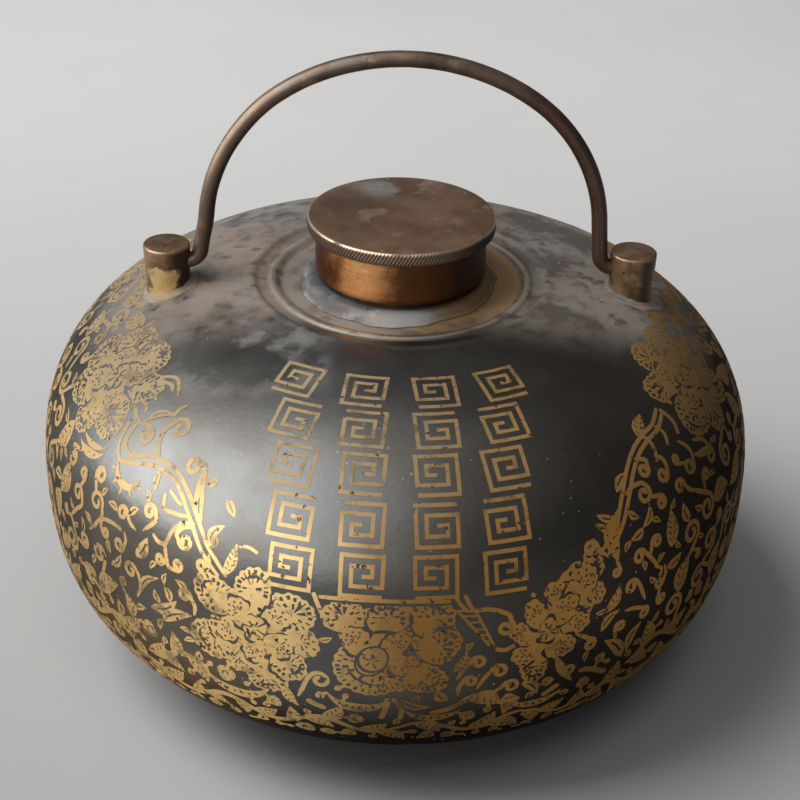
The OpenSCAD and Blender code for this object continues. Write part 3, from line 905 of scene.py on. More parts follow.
def addCrescent(film, turn, v, radius, thick, start, end, teeth, beads):
    f, spot = crescentForm, atSpot(turn, v)
    n = f["parts"]

    def angle(u):
        return radians(start + (end - start) * u)
    outer = [spot(*polar(radius, angle(k / n))) for k in range(n + 1)]
    inner = [spot(*polar(radius - thick * sin(pi * k / n), angle(k / n))) for k in range(n + 1)]
    holes = []
    for k in range(beads):
        u = f["beads"][0] + f["beads"][1] * k / max(beads - 1, 1)
        q = radius - thick * sin(pi * u) / 2
        ends = (polar(q + far, angle(u)) for far in (-f["bead"], f["bead"]))
        holes.append(slotHole(spot, *ends, f["beadWidth"], f["beadWidth"]))
    addPatch(film, outer + inner[1:-1][::-1], holes)
    for k in range(teeth):
        a = angle(f["teeth"][0] + f["teeth"][1] * k / max(teeth - 1, 1)) + f["toothLean"]
        tooth = [spot(*polar(radius + thick * far, a)) for far in f["tooth"]]
        addLine(film, tooth, f["toothWidth"], f["toothEnds"])


# Blossom of overlapping petals, the first on top, with a bare line round each one
petalForm = {
    "sway": 0.32, "swayWaves": ((1, 2, 1), (0.7, 3, 2)), "scallop": 0.42, "scallopFrom": -0.3, "pitch": 2.0,
    "gap": 0.5, "gapMean": 0.5, "gapWaves": ((1, 2, 3), (0.7, 5, 1)), "gapMost": 1.8,
    "phase": (47, 31), "perMm": 8, "spare": 1.6, "lid": (20, 9),
}
# Bare marks by the kind of petal; a stroke is its turn, its ends as shares of the petal and its width at both ends
petalMarks = {
    "arc": {"parts": 12, "taper": 1.5},
    "bead": {
        # rows of beads: inner and outer end in from the rim, width, spread
        "rows": ((1.5, 0.55, 0.78, 1.95), (3.0, 1.9, 0.66, 1.5), (4.6, 3.3, 0.7, 1.1), (6.2, 4.8, 0.66, 1.4)),
        "pitch": 1.25, "looser": 0.3, "least": 3, "room": 0.5, "shift": 0.12, "sway": 0.07, "wide": (0.75, 0.35),
        "root": 0.8, "ragged": 0.2, "arcFrom": -0.2, "arc": (0.66, 0.95, 0.75),
        "strokes": ((0.3, 0.1, 0.62, 0.3, 0.95), (-0.5, 0.15, 0.55, 0.3, 0.8)),
    },
    "ground": {"ring": 1.5, "start": 0.4, "count": 5, "sway": 0.2, "half": 0.45, "wide": (0.5, 0.66), "lean": 0.35},
    "claw": {"count": 7, "turn": 0.9, "sway": 0.2, "root": (0.45, 0.25), "tip": (0.62, 0.2), "wide": (0.26, 0.5),
             "arc": (0.34, 1.1, 0.4)},
    "rays": {"count": 5, "spread": 1.25, "root": (0.16, 0.12), "tip": (0.56, 0.1), "wide": (0.2, 0.45),
             "outerTurn": 0.22, "outer": (0.68, 0.84), "outerWide": (0.4, 0.5)},
    "coil": {"parts": 20, "at": 0.74, "start": 1.3, "sweep": 3.3, "half": (0.12, 0.26), "count": 5,
             "turn": (0.4, 1.25), "root": 0.12, "tip": (0.44, 0.1), "wide": (0.28, 0.46)},
}


def petalReach(p, angle):
    f = petalForm
    r = p["long"] * p["wide"] / hypot(p["wide"] * cos(angle), p["long"] * sin(angle))
    if p["kind"] != "coil":
        r += f["sway"] * ripple(angle, f["swayWaves"], p["phase"])
        if cos(angle) > f["scallopFrom"]:
            r += f["scallop"] * (abs(sin(angle * p["waves"])) - 0.5)
    return r


# The bare line round a petal comes and goes
def petalGap(p, angle):
    f = petalForm
    if p["kind"] == "coil":
        return f["gap"]
    return f["gap"] * max(0, min(f["gapMost"], ripple(angle, f["gapWaves"], p["phase"], f["gapMean"])))


def petalPoint(p, reach, angle):
    a = p["facing"] + angle
    return p["x"] + reach * cos(a), p["y"] + reach * sin(a)


def straight(x, y):
    return x, y


# Bare strokes and arcs inside a petal, by its kind
def petalHoles(p):
    f, holes, full, phase = petalMarks[p["kind"]], [], p["long"], p["phase"]

    def stroke(a, r0, r1, w0, w1, lean=0.0):
        ends = petalPoint(p, r0, a - lean), petalPoint(p, r1, a + lean)
        holes.append(slotHole(straight, *ends, w0, w1))

    def arc(share, spread, thick):
        n, taper = petalMarks["arc"]["parts"], petalMarks["arc"]["taper"]
        rows = [(petalReach(p, a) * share, a) for a in (spread * (2 * k / n - 1) for k in range(n + 1))]
        holes.append([petalPoint(p, r, a) for r, a in rows]
                     + [petalPoint(p, r - thick * cos(a / spread * taper), a) for r, a in rows[1:-1][::-1]])

    def varied(name, k, every=2):
        return f[name][0] + f[name][1] * (k % every)
    if p["kind"] == "bead":
        for row, (inner, outer, width, spread) in enumerate(f["rows"]):
            if full - inner < f["room"]:
                break
            count = max(f["least"], round((full - outer) * 2 * spread / f["pitch"] / (1 + f["looser"] * row)))
            for k in range(count):
                a = spread * (2 * k / (count - 1) - 1) + f["shift"] * (row % 2) + f["sway"] * sin(7 * k + 9 * phase)
                r = petalReach(p, a)
                w = width * (f["wide"][0] + f["wide"][1] * sin(5 * k + 4 * phase))
                stroke(a, r - inner - f["ragged"] * row * sin(3 * k + phase), r - outer, w * f["root"], w)
        if sin(5 * phase) > f["arcFrom"]:
            arc(*f["arc"])
        else:
            for a, root, tip, *widths in f["strokes"]:
                stroke(a, full * root, full * tip, *widths)
    elif p["kind"] == "ground":
        for ring in range(1, int(full / f["ring"]) + 1):
            count, r = f["count"] * ring, f["ring"] * ring - f["start"]
            for k in range(count):
                a = 2 * pi * (k + 0.5 * (ring % 2)) / count + f["sway"] * sin(5 * k + ring)
                stroke(a, r - f["half"], r + f["half"], *f["wide"], f["lean"] * sin(3 * k + ring) / r)
    elif p["kind"] == "claw":
        for k in range(f["count"]):
            a = f["turn"] * k + f["sway"] * sin(4 * k)
            stroke(a, varied("root", k), full * varied("tip", k, 3), *f["wide"])
        arc(*f["arc"])
    elif p["kind"] == "rays":
        for k in range(f["count"]):
            a = f["spread"] * (2 * k / (f["count"] - 1) - 1)
            r = petalReach(p, a)
            stroke(a, r * varied("root", k), r * (f["tip"][0] - f["tip"][1] * (k % 2)), *f["wide"])
            stroke(a + f["outerTurn"], *(r * share for share in f["outer"]), *f["outerWide"])
    else:  # an open curl with a few strokes inside it
        n, r = f["parts"], full * f["at"]
        thin, more = f["half"]
        curl = [(f["start"] + f["sweep"] * k / n, thin + more * sin(pi * k / n)) for k in range(n + 1)]
        holes.append([petalPoint(p, r + w, a) for a, w in curl] + [petalPoint(p, r - w, a) for a, w in curl[::-1]])
        for k in range(f["count"]):
            stroke(f["turn"][0] + f["turn"][1] * k, full * f["root"], full * varied("tip", k), *f["wide"])
    return holes


def addBlossom(film, plan, base):
    f, (midT, midV) = petalForm, plan["heart"]
    spot = atSpot(base + midT, midV)
    top = plan.get("top", inf) - midV
    petals, loops = [], []
    for t, v, long, wide, facing, kind in plan["petals"]:
        p = {"x": radians(t - midT) * onLine(v)[0], "y": v - midV, "long": long, "wide": wide, "kind": kind,
             "facing": radians(facing), "phase": radians(t * f["phase"][0] + v * f["phase"][1]),
             "waves": round(pi * (long + wide) / 2 / f["pitch"])}
        p["bare"] = boxed(petalHoles(p))
        petals.append(p)
        n = int((long + wide) * f["perMm"])
        turns = [2 * pi * k / n for k in range(n)]
        loops.append([petalPoint(p, petalReach(p, a), a) for a in turns])
        loops.append([petalPoint(p, petalReach(p, a) + petalGap(p, a), a) for a in turns])
        loops += [hole for hole, _ in p["bare"]]
    if "top" in plan:
        half, tall = f["lid"]
        loops.append([(-half, top), (half, top), (half, top + tall), (-half, top + tall)])
    x0, y0, x1, y1 = boxOf([Vector(p) for loop in loops for p in loop])
    g = filmForm["grid"]
    loose = [(x0 + g * a, y0 + g * b) for a in range(int((x1 - x0) / g)) for b in range(int((y1 - y0) / g))]

    def isGold(q):
        if q[1] > top:
            return False
        for p in petals:
            dx, dy = q[0] - p["x"], q[1] - p["y"]
            far = hypot(dx, dy)
            if far > max(p["long"], p["wide"]) + f["spare"]:
                continue
            angle = atan2(dy, dx) - p["facing"]
            reach = petalReach(p, angle)
            if far < reach:
                return not inHoles(q, p["bare"])
            if far < reach + petalGap(p, angle):
                return False
        return False
    verts, tris = cutPatch(loops, loose, isGold)
    addFilm(film, [spot(*p) for p in verts], tris)


# Two rails with rungs between them
ladderForm = {
    "left": ((7.8, 11), (10.6, 6), (13, 1.4)), "right": ((10.4, 10.6), (12, 6), (13.4, 1.6)),
    "rungs": 7, "width": 0.55, "rungWidth": 0.8,
}


def moved(points, base):
    return [(base + t, v) for t, v in points]


def addLadder(film, base):
    f = ladderForm
    a, b = (throughPoints(moved(f[side], base)) for side in ("left", "right"))
    addLine(film, a, f["width"])
    addLine(film, b, f["width"])
    for k in range(f["rungs"]):
        u = (k + 0.5) / f["rungs"]
        p, q = a[int(u * (len(a) - 1))], b[int(u * (len(b) - 1))]
        addLine(film, [p, ((p[0] + q[0]) / 2, (p[1] + q[1]) / 2), q], f["width"] * f["rungWidth"], (1, 1))


leftGarland = {
    "lines": [
        (0.9, [(-50.5, 34), (-50.4, 29.4), (-49.1, 27.8), (-47.1, 27.7), (-44.9, 29.1), (-42.2, 29.8), (-39, 29.8),
               (-36.8, 28.7), (-34.4, 26.6), (-32.4, 24), (-30.4, 20.8), (-28.8, 17.8), (-27, 15.4),
               (-25.2, 12.8)]),
        (0.9, [(-52.2, 33.4), (-51.5, 28), (-49.6, 25.5), (-46.7, 26.4), (-43.5, 27.9), (-40, 28.3), (-37.3, 27.4),
               (-35, 25.2), (-33.2, 22.6), (-31.4, 19.6), (-29.9, 16.8), (-28.2, 14.4), (-26.4, 12.4)]),
        (0.8, [(-44.6, 38.6), (-44.5, 40.4), (-43.6, 42)]),
        (0.8, [(-38.2, 24.4), (-37.8, 22.2), (-37, 21.4), (-32.4, 22)]),
        (0.9, [(-38.6, 15.7), (-37.4, 14.6), (-36, 15), (-35.2, 18), (-33.6, 20.4), (-31.6, 20.9)]),
        (0.9, [(-36.2, 15), (-35.6, 12.4), (-34.9, 9.8)]), (0.7, [(-37.6, 25.4), (-35.6, 24), (-34.6, 23.6)]),
        (0.9, [(-45, 12.6), (-47.2, 12.8), (-49.8, 12)]),
        (1.0, [(-53.6, 36), (-52, 34.6), (-50.4, 33.9), (-49, 35)]),
        (0.8, [(-54.6, 43.6), (-52.6, 45.2), (-50.7, 45.6), (-48.8, 44.4), (-47.2, 42.8)]),
        (0.8, [(-54, 42.4), (-52.2, 43.6), (-50.4, 43.8), (-49.2, 42.8)]),
        (0.7, [(-55, 40), (-52.6, 40.6), (-50.6, 39.4)]),
        (0.7, [(-23.8, 19.6), (-22.4, 20), (-20.8, 19.2)]), (0.8, [(-53.4, 37.8), (-51.4, 37.4), (-50.6, 36)]),
    ],
    "curls": [
        (-41.5, 37.2, 2.3, [(-42.2, 30.2), (-43.8, 32.6), (-44.3, 35.6)], -1),
        (-35.1, 31.4, 1.9, [(-32.3, 26), (-32.4, 29.4), (-32.9, 31.6)], 1),
        (-40, 19.6, 1.7, [(-40.6, 15.2), (-39.6, 16.6), (-38.5, 18.4)], 1),
        (-45.3, 16.2, 1.6, [(-42, 14.4), (-43.4, 15.2)], 1),
        (-51.8, 14.6, 2.3, [(-53.4, 6.6), (-51.4, 9.6), (-50, 12.4)], 1),
        (-48.7, 9.6, 1.2, [(-49.6, 12), (-50, 10.6)], 1),
        (-45.3, 9.2, 1.6, [(-44.4, 12.6), (-43.8, 10.8)], -1), (-36.7, 11.2, 1.2, [(-35.9, 13.8), (-35.5, 12)], -1),
        (-33.5, 11.5, 1.3, [(-35.2, 10.8), (-34.6, 10.2)], 1),
        (-32.6, 17, 1.7, [(-31.4, 20.4), (-33.2, 19.8), (-34.3, 18)], 1),
        (-42.6, 4.8, 1.9, [(-41.4, -1), (-40.5, 1.8), (-40.8, 4.6)], 1),
        (-29.3, 13.6, 1.4, [(-28.4, 16.2), (-28.2, 14.6)], -1),
        (-32, 5.4, 1.6, [(-30.4, 1.4), (-30.2, 3.6)], 1),
        (-57.4, 12.6, 2, [(-59.4, 5.6), (-57.6, 8.4), (-55.8, 10.8)], 1),
        (-61.4, 18, 1.8, [(-58.4, 22.6), (-60, 21), (-62.2, 20.4)], -1),
    ],
    "leaves": [
        ((-30.6, 20.8), (-33, 33.2), 2.3, -0.05, 0), ((-49.2, 35), (-44.4, 38.9), 1.9, -0.16, 0),
        ((-41.4, 8.8), (-39.5, 14.3), 3.0, 0.1, 0), ((-40.8, 0.4), (-36.7, 6.6), 1.9, -0.16, 0),
        ((-40.8, 28), (-40.2, 23.8), 1.6, 0.08, 0), ((-28.5, 17.8), (-26.6, 22.8), 2.2, -0.2, 0),
        ((-28, 17.6), (-28.2, 20.8), 1.5, 0.2, 0), ((-25.6, 13), (-24.2, 20.2), 2.4, 0.06, 5),
        ((-38.6, -1.6), (-33.4, 3.2), 2.6, 0.12, 0), ((-36.4, -3.4), (-30.8, 1), 2.8, -0.1, 0),
        ((-47.2, 3), (-44.7, 7.2), 1.9, 0.14, 0), ((-31.8, 29.4), (-30, 30.8), 2.0, 0.1, 0),
        ((-27.4, 27.8), (-25.4, 24.8), 1.9, 0, 0), ((-31.6, 5.4), (-33.8, 8.2), 1.9, 0.2, 0),
    ],
    "crescents": [
        (-46.7, 24.6, 3.9, 1.7, 165, 355, 5, 0), (-57.8, 27.6, 6.6, 2.0, 225, 330, 0, 0),
        (-57.6, 30.2, 7.0, 1.4, 228, 322, 0, 0),
    ],
}
rightGarland = {
    "lines": [
        (0.9,
               [(30.4, 17.2), (32.8, 20.2), (34.4, 22.8), (36.6, 27), (39.2, 30.8), (42.3, 33.6), (46, 35.2),
                      (49.5, 35.9), (53, 38)]),
        (0.9,
               [(31.2, 15.6), (33.6, 18.8), (35.2, 21.4), (37.6, 25.8), (40, 29.5), (42.9, 32.2), (46.2, 33.7),
                      (49.7, 34.4), (53.6, 36.6)]),
        (0.8, [(49.6, 35.2), (50.6, 33), (49.8, 30.6)]), (0.9, [(53.4, 37.4), (54.4, 34), (53.6, 31)]),
        (0.8, [(40.4, 9), (41.8, 7.4), (41.4, 5.8)]), (0.9, [(46, 34.6), (46.6, 32), (45.6, 29)]),
    ],
    "curls": [
        (40.4, 24.6, 1.9, [(36.8, 26), (38.4, 27), (40.6, 26.9)], -1),
        (42.2, 29, 1.5, [(41.4, 31.8), (43.4, 30.6)], -1),
        (37.2, 12.8, 1.6, [(41.2, 8), (40, 10.4), (39, 12.2)], 1),
        (35.6, 6.8, 1.7, [(38.6, 2), (37.9, 4.2), (37.3, 6.2)], 1),
        (45.6, 26.2, 1.6, [(45.8, 30.4), (47, 29), (47.2, 27.4)], -1), (48.4, 22, 1.6, [(52, 19), (50.4, 20.2)], 1),
        (52.4, 24.4, 1.8, [(52.4, 30), (53.8, 28), (54.2, 26)], -1),
        (28.6, 18.4, 1.6, [(31.4, 15.8), (30.4, 17)], 1),
        (38.6, -1.4, 1.5, [(34.6, 1.6), (36.8, 1)], -1), (41.4, 4.4, 1.4, [(42.4, 8), (42.8, 6.2)], -1),
        (59, 22.6, 1.8, [(56, 28), (58.6, 26.6)], -1),
    ],
    "leaves": [
        ((33, 14), (35.6, 24.6), 3.8, -0.22, 7), ((30, 22.8), (34.6, 21.2), 1.7, 0.15, 0),
        ((30.6, 24.4), (34.8, 22.8), 1.6, 0.12, 0),
        ((35.4, 27.2), (39, 30), 2.0, -0.15, 0), ((44.1, 11), (44.9, 19), 3.8, 0.03, 5),
        ((45, 34.4), (48.4, 39), 3.2, -0.1, 4),
        ((38.6, 18.4), (40.8, 22.6), 1.8, 0.2, 0), ((31, 3), (33.4, 8.8), 2.6, 0.12, 4),
        ((30.4, -1.4), (33.6, 2.6), 2.2, -0.15, 0),
        ((35.4, -11), (31.2, -4), 3.0, 0.1, 0), ((36, -9.6), (38.4, -3.4), 2.6, -0.15, 0),
    ],
    "crescents": [(58, 29.4, 6.0, 1.8, 215, 310, 0, 0)],
}
frontGarland = {
    "lines": [
        (0.8, [(-11.4, 12.9), (-8, 13), (-3, 13.1), (3, 13.1), (7, 12.9)]),
        (0.8, [(7.6, 14), (8.4, 12), (9.4, 10.4)]),
        (0.8, [(9, 14), (9.6, 12), (10.2, 10.6)]), (0.9, [(-12.2, 13.6), (-11.2, 10.4), (-10.2, 8)]),
        (0.9, [(18.7, 12.4), (19.2, 11.6)]),
        (1.2, [(-1.4, -10.4), (-1.7, -13.6), (-2.4, -17)]), (1.1, [(-0.6, -10.4), (0.6, -13.4), (0.4, -17)]),
        (1.0, [(13.6, 1), (15, 0.4), (16.4, 1.2)]),
    ],
    "curls": [
        (-11.1, -6.9, 2.1, [(-14.4, -12.4), (-13.6, -9.6), (-13, -7.2)], -1),
        (14.9, 5.8, 1.8, [(9.6, 10.4), (12.6, 10.4), (15.2, 8.8)], -1),
        (11.2, -1.8, 1.6, [(8.2, -5.6), (9.2, -3.2)], -1), (14.4, -4.8, 1.8, [(11.2, -8.8), (12.2, -6.2)], -1),
        (16.4, -9.4, 1.7, [(12.4, -11.4), (14.2, -10)], -1), (25.5, -8.6, 1.6, [(22.6, -3.4), (23.8, -6)], 1),
        (28.6, -3.6, 1.5, [(26, 0.4), (27.4, -1)], -1), (10.2, -6.6, 1.5, [(8.6, -10.4), (8.6, -8)], -1),
    ],
    "leaves": [
        ((0.4, -10.4), (4.8, -13), 2.2, 0.18, 0), ((7.8, -3.6), (9.4, 1.4), 2.4, 0.15, 4),
        ((23, -4), (26.6, -12.6), 2.0, 0.05, 0),
        ((18, -9), (20.8, -13.6), 2.4, -0.15, 0), ((-16.4, -10), (-14.4, -15.6), 2.4, 0.1, 4),
    ],
    "crescents": [
        (-5.6, -8.6, 6.4, 2.6, 190, 340, 0, 6), (5.2, -11.6, 6.2, 2.2, 200, 335, 0, 5),
        (-24, -9.6, 7.6, 2.6, 195, 345, 0, 6),
        (20.6, -11, 6.6, 2.2, 205, 335, 0, 5),
    ],
}
blossoms = [
    {"heart": (-20.4, 2), "petals": (
        (-20.6, 3, 2.9, 2.6, 130, "claw"), (-23, 5.9, 3.3, 2.7, 140, "rays"), (-17.6, 6, 3.3, 2.7, 40, "rays"),
        (-17, 0.2, 3.3, 2.7, -35, "rays"), (-20.8, -1.8, 3.1, 2.8, 260, "rays"),
        (-24.3, 1.3, 3.3, 2.7, 190, "rays"),
        (-26.9, 8.2, 4.7, 4.4, 150, "bead"), (-26.9, -2.4, 5.5, 5, 200, "bead"),
        (-20.9, 11.8, 4.3, 4.1, 95, "bead"),
        (-14.9, 8.2, 4.5, 4.1, 40, "bead"), (-13.9, 2, 3.8, 3.5, 0, "rays"), (-15.6, -4, 4.2, 3.8, 320, "bead"),
        (-19, -8.4, 4.7, 4.1, 275, "bead"), (-23.2, -5.6, 3.5, 3.3, 240, "rays"),
        (-20.4, 2, 11, 9.8, 70, "ground"))},
    {"heart": (-2.8, -0.6), "top": 12.1, "petals": (
        (-3.8, -0.8, 3.6, 2.7, 60, "coil"), (-0.6, 3.2, 3.1, 2.6, 50, "rays"), (-6, 3.9, 3.1, 2.7, 130, "rays"),
        (0.5, -1.4, 2.9, 2.5, -20, "rays"), (-3.4, -1.8, 8.1, 7.5, 235, "bead"), (3.6, -5, 4.5, 3.9, 320, "bead"),
        (5.6, 2.8, 4.4, 3.9, 5, "bead"), (-7.8, 9.2, 4.1, 3.9, 110, "bead"), (-1.6, 9.5, 3.9, 3.7, 90, "bead"),
        (4.6, 9.4, 4.1, 3.9, 60, "bead"), (0, 5, 11.4, 7.4, 0, "ground"), (-2, -2, 10, 6.4, 0, "ground"))},
    {"heart": (21.6, 3.6), "petals": (
        (21.3, 3, 2.6, 2.2, 60, "claw"), (23.8, 7, 3.9, 2.5, 55, "rays"), (19.6, 7.2, 3.5, 2.5, 115, "rays"),
        (17.8, 3.6, 3.4, 2.5, 165, "rays"), (18.6, -1.2, 3.5, 2.7, 215, "rays"),
        (23.4, -1.4, 3.7, 2.9, 310, "rays"),
        (25.6, 3.2, 3.6, 2.7, 0, "rays"), (26.6, 11.6, 4.3, 3, 55, "rays"), (19.6, -5.4, 3.9, 3.2, 265, "bead"),
        (22.8, 11, 3.1, 2.5, 100, "rays"), (28.4, 8.6, 3.1, 2.6, 20, "rays"), (28.6, 15, 3.2, 2.7, 70, "bead"),
        (23.6, 6.2, 12.2, 6.2, 58, "ground"))},
    {"heart": (-63.4, 37.6), "petals": (
        (-63.6, 37.4, 2.9, 2.6, 40, "claw"), (-60.5, 40.3, 3.5, 2.9, 45, "rays"),
        (-66.7, 40.4, 3.5, 2.9, 135, "rays"),
        (-66.9, 34.6, 3.5, 2.9, 225, "rays"), (-60.5, 34.4, 3.5, 2.9, 315, "rays"),
        (-57.4, 31.2, 5.4, 4.9, 325, "bead"),
        (-56, 39.6, 4.9, 4.5, 15, "bead"), (-61.2, 45.2, 4.7, 4.5, 80, "bead"), (-69, 44.6, 5.1, 4.7, 130, "bead"),
        (-72.2, 37.6, 5.3, 4.9, 180, "bead"), (-69.2, 30.6, 5.1, 4.7, 225, "bead"),
        (-63.2, 28.4, 4.9, 4.7, 270, "bead"), (-63.6, 37.2, 9.4, 9, 0, "ground"))},
]
# The high flower on the left comes again on the right, turned over
blossoms.append({"heart": (66.6, 38), "petals": tuple(
    (3.2 - t, v + 0.4, *size, 180 - facing, kind) for t, v, *size, facing, kind in blossoms[3]["petals"])})


def drawGarland(film, plan, base):
    for width, points in plan["lines"]:
        addLine(film, throughPoints(moved(points, base)), width, filmForm["stalkEnds"])
    for turn, v, radius, tail, hand in plan["curls"]:
        addCurl(film, base + turn, v, radius, moved(tail, base), hand)
    for root, tip, width, bend, cuts in plan["leaves"]:
        addLeaf(film, *moved((root, tip), base), width, bend, cuts)
    for turn, v, *form in plan["crescents"]:
        addCrescent(film, base + turn, v, *form)


# Top edge of the garland, and of its dense foot, at a turn from the middle of a side
garlandTop = ((0, 11), (14, 10), (20, 8), (32, 16), (40, 27), (50, 36), (58, 46), (72, 50), (90, 46))
footTop = ((0, -8), (38, -8), (60, -3), (76, 4), (90, 6))
fillForm = {
    "low": -27, "high": 53, "gap": (0.62, 0.34), "clear": 0.5, "grid": 0.65, "margin": 2, "reach": 2.6,
    "stem": 0.75, "stemEnd": 0.8, "stemParts": 3, "leafWidth": (1.5, 0.5), "leafBend": 0.12,
    "lobes": 0.62, "sprigs": 0.62, "leastSprig": 0.8, "cutLeaf": 1.6,
    "sizes": ((2.9, 1.1), (2.3, 1.05), (1.8, 1.0), (1.4, 0.9), (1.05, 0.8), (0.78, 0.7), (0.55, 0.6)),
}
vineForm = {
    "rows": ((-20.5, 2.2, 0), (-12.5, 2.4, 6)), "period": 15, "width": 1.4, "leastRun": 8, "leafStep": 9,
    "leafLean": 0.95, "leafLong": 6.6, "leafRange": (0.8, 1.15), "leafWidth": 0.56, "leafBend": 0.16, "leafCuts": 4,
    "leafClear": 1.0, "leafProbe": 0.65, "knots": 2, "margin": 6, "slope": 2,
}
lobeForm = {
    "scallop": 0.16, "dotted": 1.7, "hooked": 0.9, "hook": (0.5, 0.62), "hookThick": (0.3, 0.17), "dots": 3.4,
    "dotAt": (0.66, 0.8), "dotWidth": (0.38, 0.42), "dotSway": 0.2, "least": 15, "perMm": 13, "bumps": 3,
    "hookParts": 9, "hookShrink": 0.03, "hookTurn": (0.7, 4.4),
}


def levelAt(rows, turn):
    side = abs((turn + 90) % 180 - 90)
    for (a, va), (b, vb) in zip(rows, rows[1:]):
        if side <= b:
            return va + (vb - va) * (side - a) / (b - a)
    return rows[-1][1]


def isFree(turn, v, room):
    reach = int(ceil(room / cellSize))
    ci, cj = cellOf(radians(turn), v)
    if (ci, cj) in inked:
        return False
    far = (room / cellSize + 0.5) ** 2
    span = range(-reach, reach + 1)
    return not any((ci + i, cj + j) in inked for i in span for j in span if i * i + j * j <= far)


# Nearest gold to a spot, within a reach in mm
def nearestGold(turn, v, reach):
    cells = int(ceil(reach / cellSize))
    ci, cj = cellOf(radians(turn), v)
    r, best, far = onLine(v)[0], None, reach
    for i in range(-cells, cells + 1):
        for j in range(-cells, cells + 1):
            p = inked.get((ci + i, cj + j))
            if p:
                d = hypot((p[0] - radians(turn)) * r, p[1] - v)
                if d < far:
                    best, far = p, d
    return best, far


# Stalk from a point of gold that runs into a coil round (turn, v)
def addSprig(film, root, turn, v, radius, hand, width):
    f, spot, r = sprigForm, atSpot(turn, v), onLine(v)[0]
    px, py = (root[0] - radians(turn)) * r, root[1] - v
    far = max(hypot(px, py), radius * f["clear"])
    start = atan2(py, px) + hand * acos(radius / far)
    tx, ty = polar(radius, start)
    n = max(2, int(far / f["step"]))
    path = [(px + (tx - px) * k / n, py + (ty - py) * k / n) for k in range(n)]
    addLine(film, [spot(*p) for p in path + coilPoints(f, radius, start, hand)], width, f["ends"])


# Leafy vine along the foot of the garland, left out where gold already lies
def addVine(film, start, end, mid, wave, lead):
    f = vineForm
    path = throughPoints([(t, mid + wave * sin(2 * pi * (t + lead) / f["period"]))
                          for t in range(start, end + 1, f["knots"])])
    clear = [isFree(degrees(t), v, fillForm["clear"]) for t, v in path]
    run = []
    for p, free in list(zip(path, clear)) + [(None, False)]:
        if free:
            run.append(p)
            continue
        if len(run) > f["leastRun"]:
            addLine(film, run, f["width"])
        run = []
    for k in range(f["margin"], len(path) - f["margin"], f["leafStep"]):
        (ta, va), (tb, vb) = path[k - f["slope"]], path[k + f["slope"]]
        r, side = onLine(va)[0], (1, -1)[k // f["leafStep"] % 2]
        way = atan2(vb - va, (tb - ta) * r) + side * f["leafLean"]
        size = f["leafLong"] * chance.uniform(*f["leafRange"])
        root = degrees(path[k][0]), path[k][1]
        tip = root[0] + degrees(cos(way) * size / r), root[1] + sin(way) * size
        far = (a + (b - a) * f["leafProbe"] for a, b in zip(root, tip))
        if clear[k] and tip[1] > fillForm["low"] and isFree(*far, f["leafClear"]):
            addLeaf(film, root, tip, size * f["leafWidth"], f["leafBend"] * side, f["leafCuts"])


# Scalloped lobe with a bare hook in it, and bare dots round the rim of a large one
def addLobe(film, turn, v, radius, angle, hand):
    f, spot = lobeForm, atSpot(turn, v, angle)
    n, dotted = max(f["least"], int(radius * f["perMm"])), radius > f["dotted"]
    rim = [(radius * (1 - f["scallop"] * abs(sin(pi * f["bumps"] * k / n))), 2 * pi * k / n) for k in range(n)]
    holes = []
    if radius > f["hooked"]:
        reach, thick = f["hook"][not dotted] * radius, max(f["hookThick"][0], radius * f["hookThick"][1])
        last, (start, sweep) = f["hookParts"], f["hookTurn"]
        hook = [(reach - f["hookShrink"] * radius * k, hand * (start + sweep * k / last)) for k in range(last + 1)]
        holes.append([spot(*polar(r, a)) for r, a in hook] + [spot(*polar(r - thick, a)) for r, a in hook[::-1]])
    dots = int(radius * f["dots"]) if dotted else 0
    for k in range(dots):
        a = 2 * pi * k / dots + f["dotSway"] * sin(3 * k)
        holes.append(slotHole(spot, *(polar(radius * share, a) for share in f["dotAt"]), *f["dotWidth"]))
    addPatch(film, [spot(*polar(r, a)) for r, a in rim], holes)


# Spots of a fine grid over the garland, in a mixed order
def fillSpots(start, end):
    f, spots = fillForm, []
    for j in range(int((f["high"] - f["low"]) / f["grid"])):
        v = f["low"] + f["grid"] * (j + 0.5)
        step = degrees(f["grid"] / onLine(v)[0])
        for i in range(int((end - start - 2 * f["margin"]) / step)):
            turn = start + f["margin"] + step * (i + chance.random())
            if v < levelAt(garlandTop, turn):
                spots.append((turn, v))
    chance.shuffle(spots)
    return spots


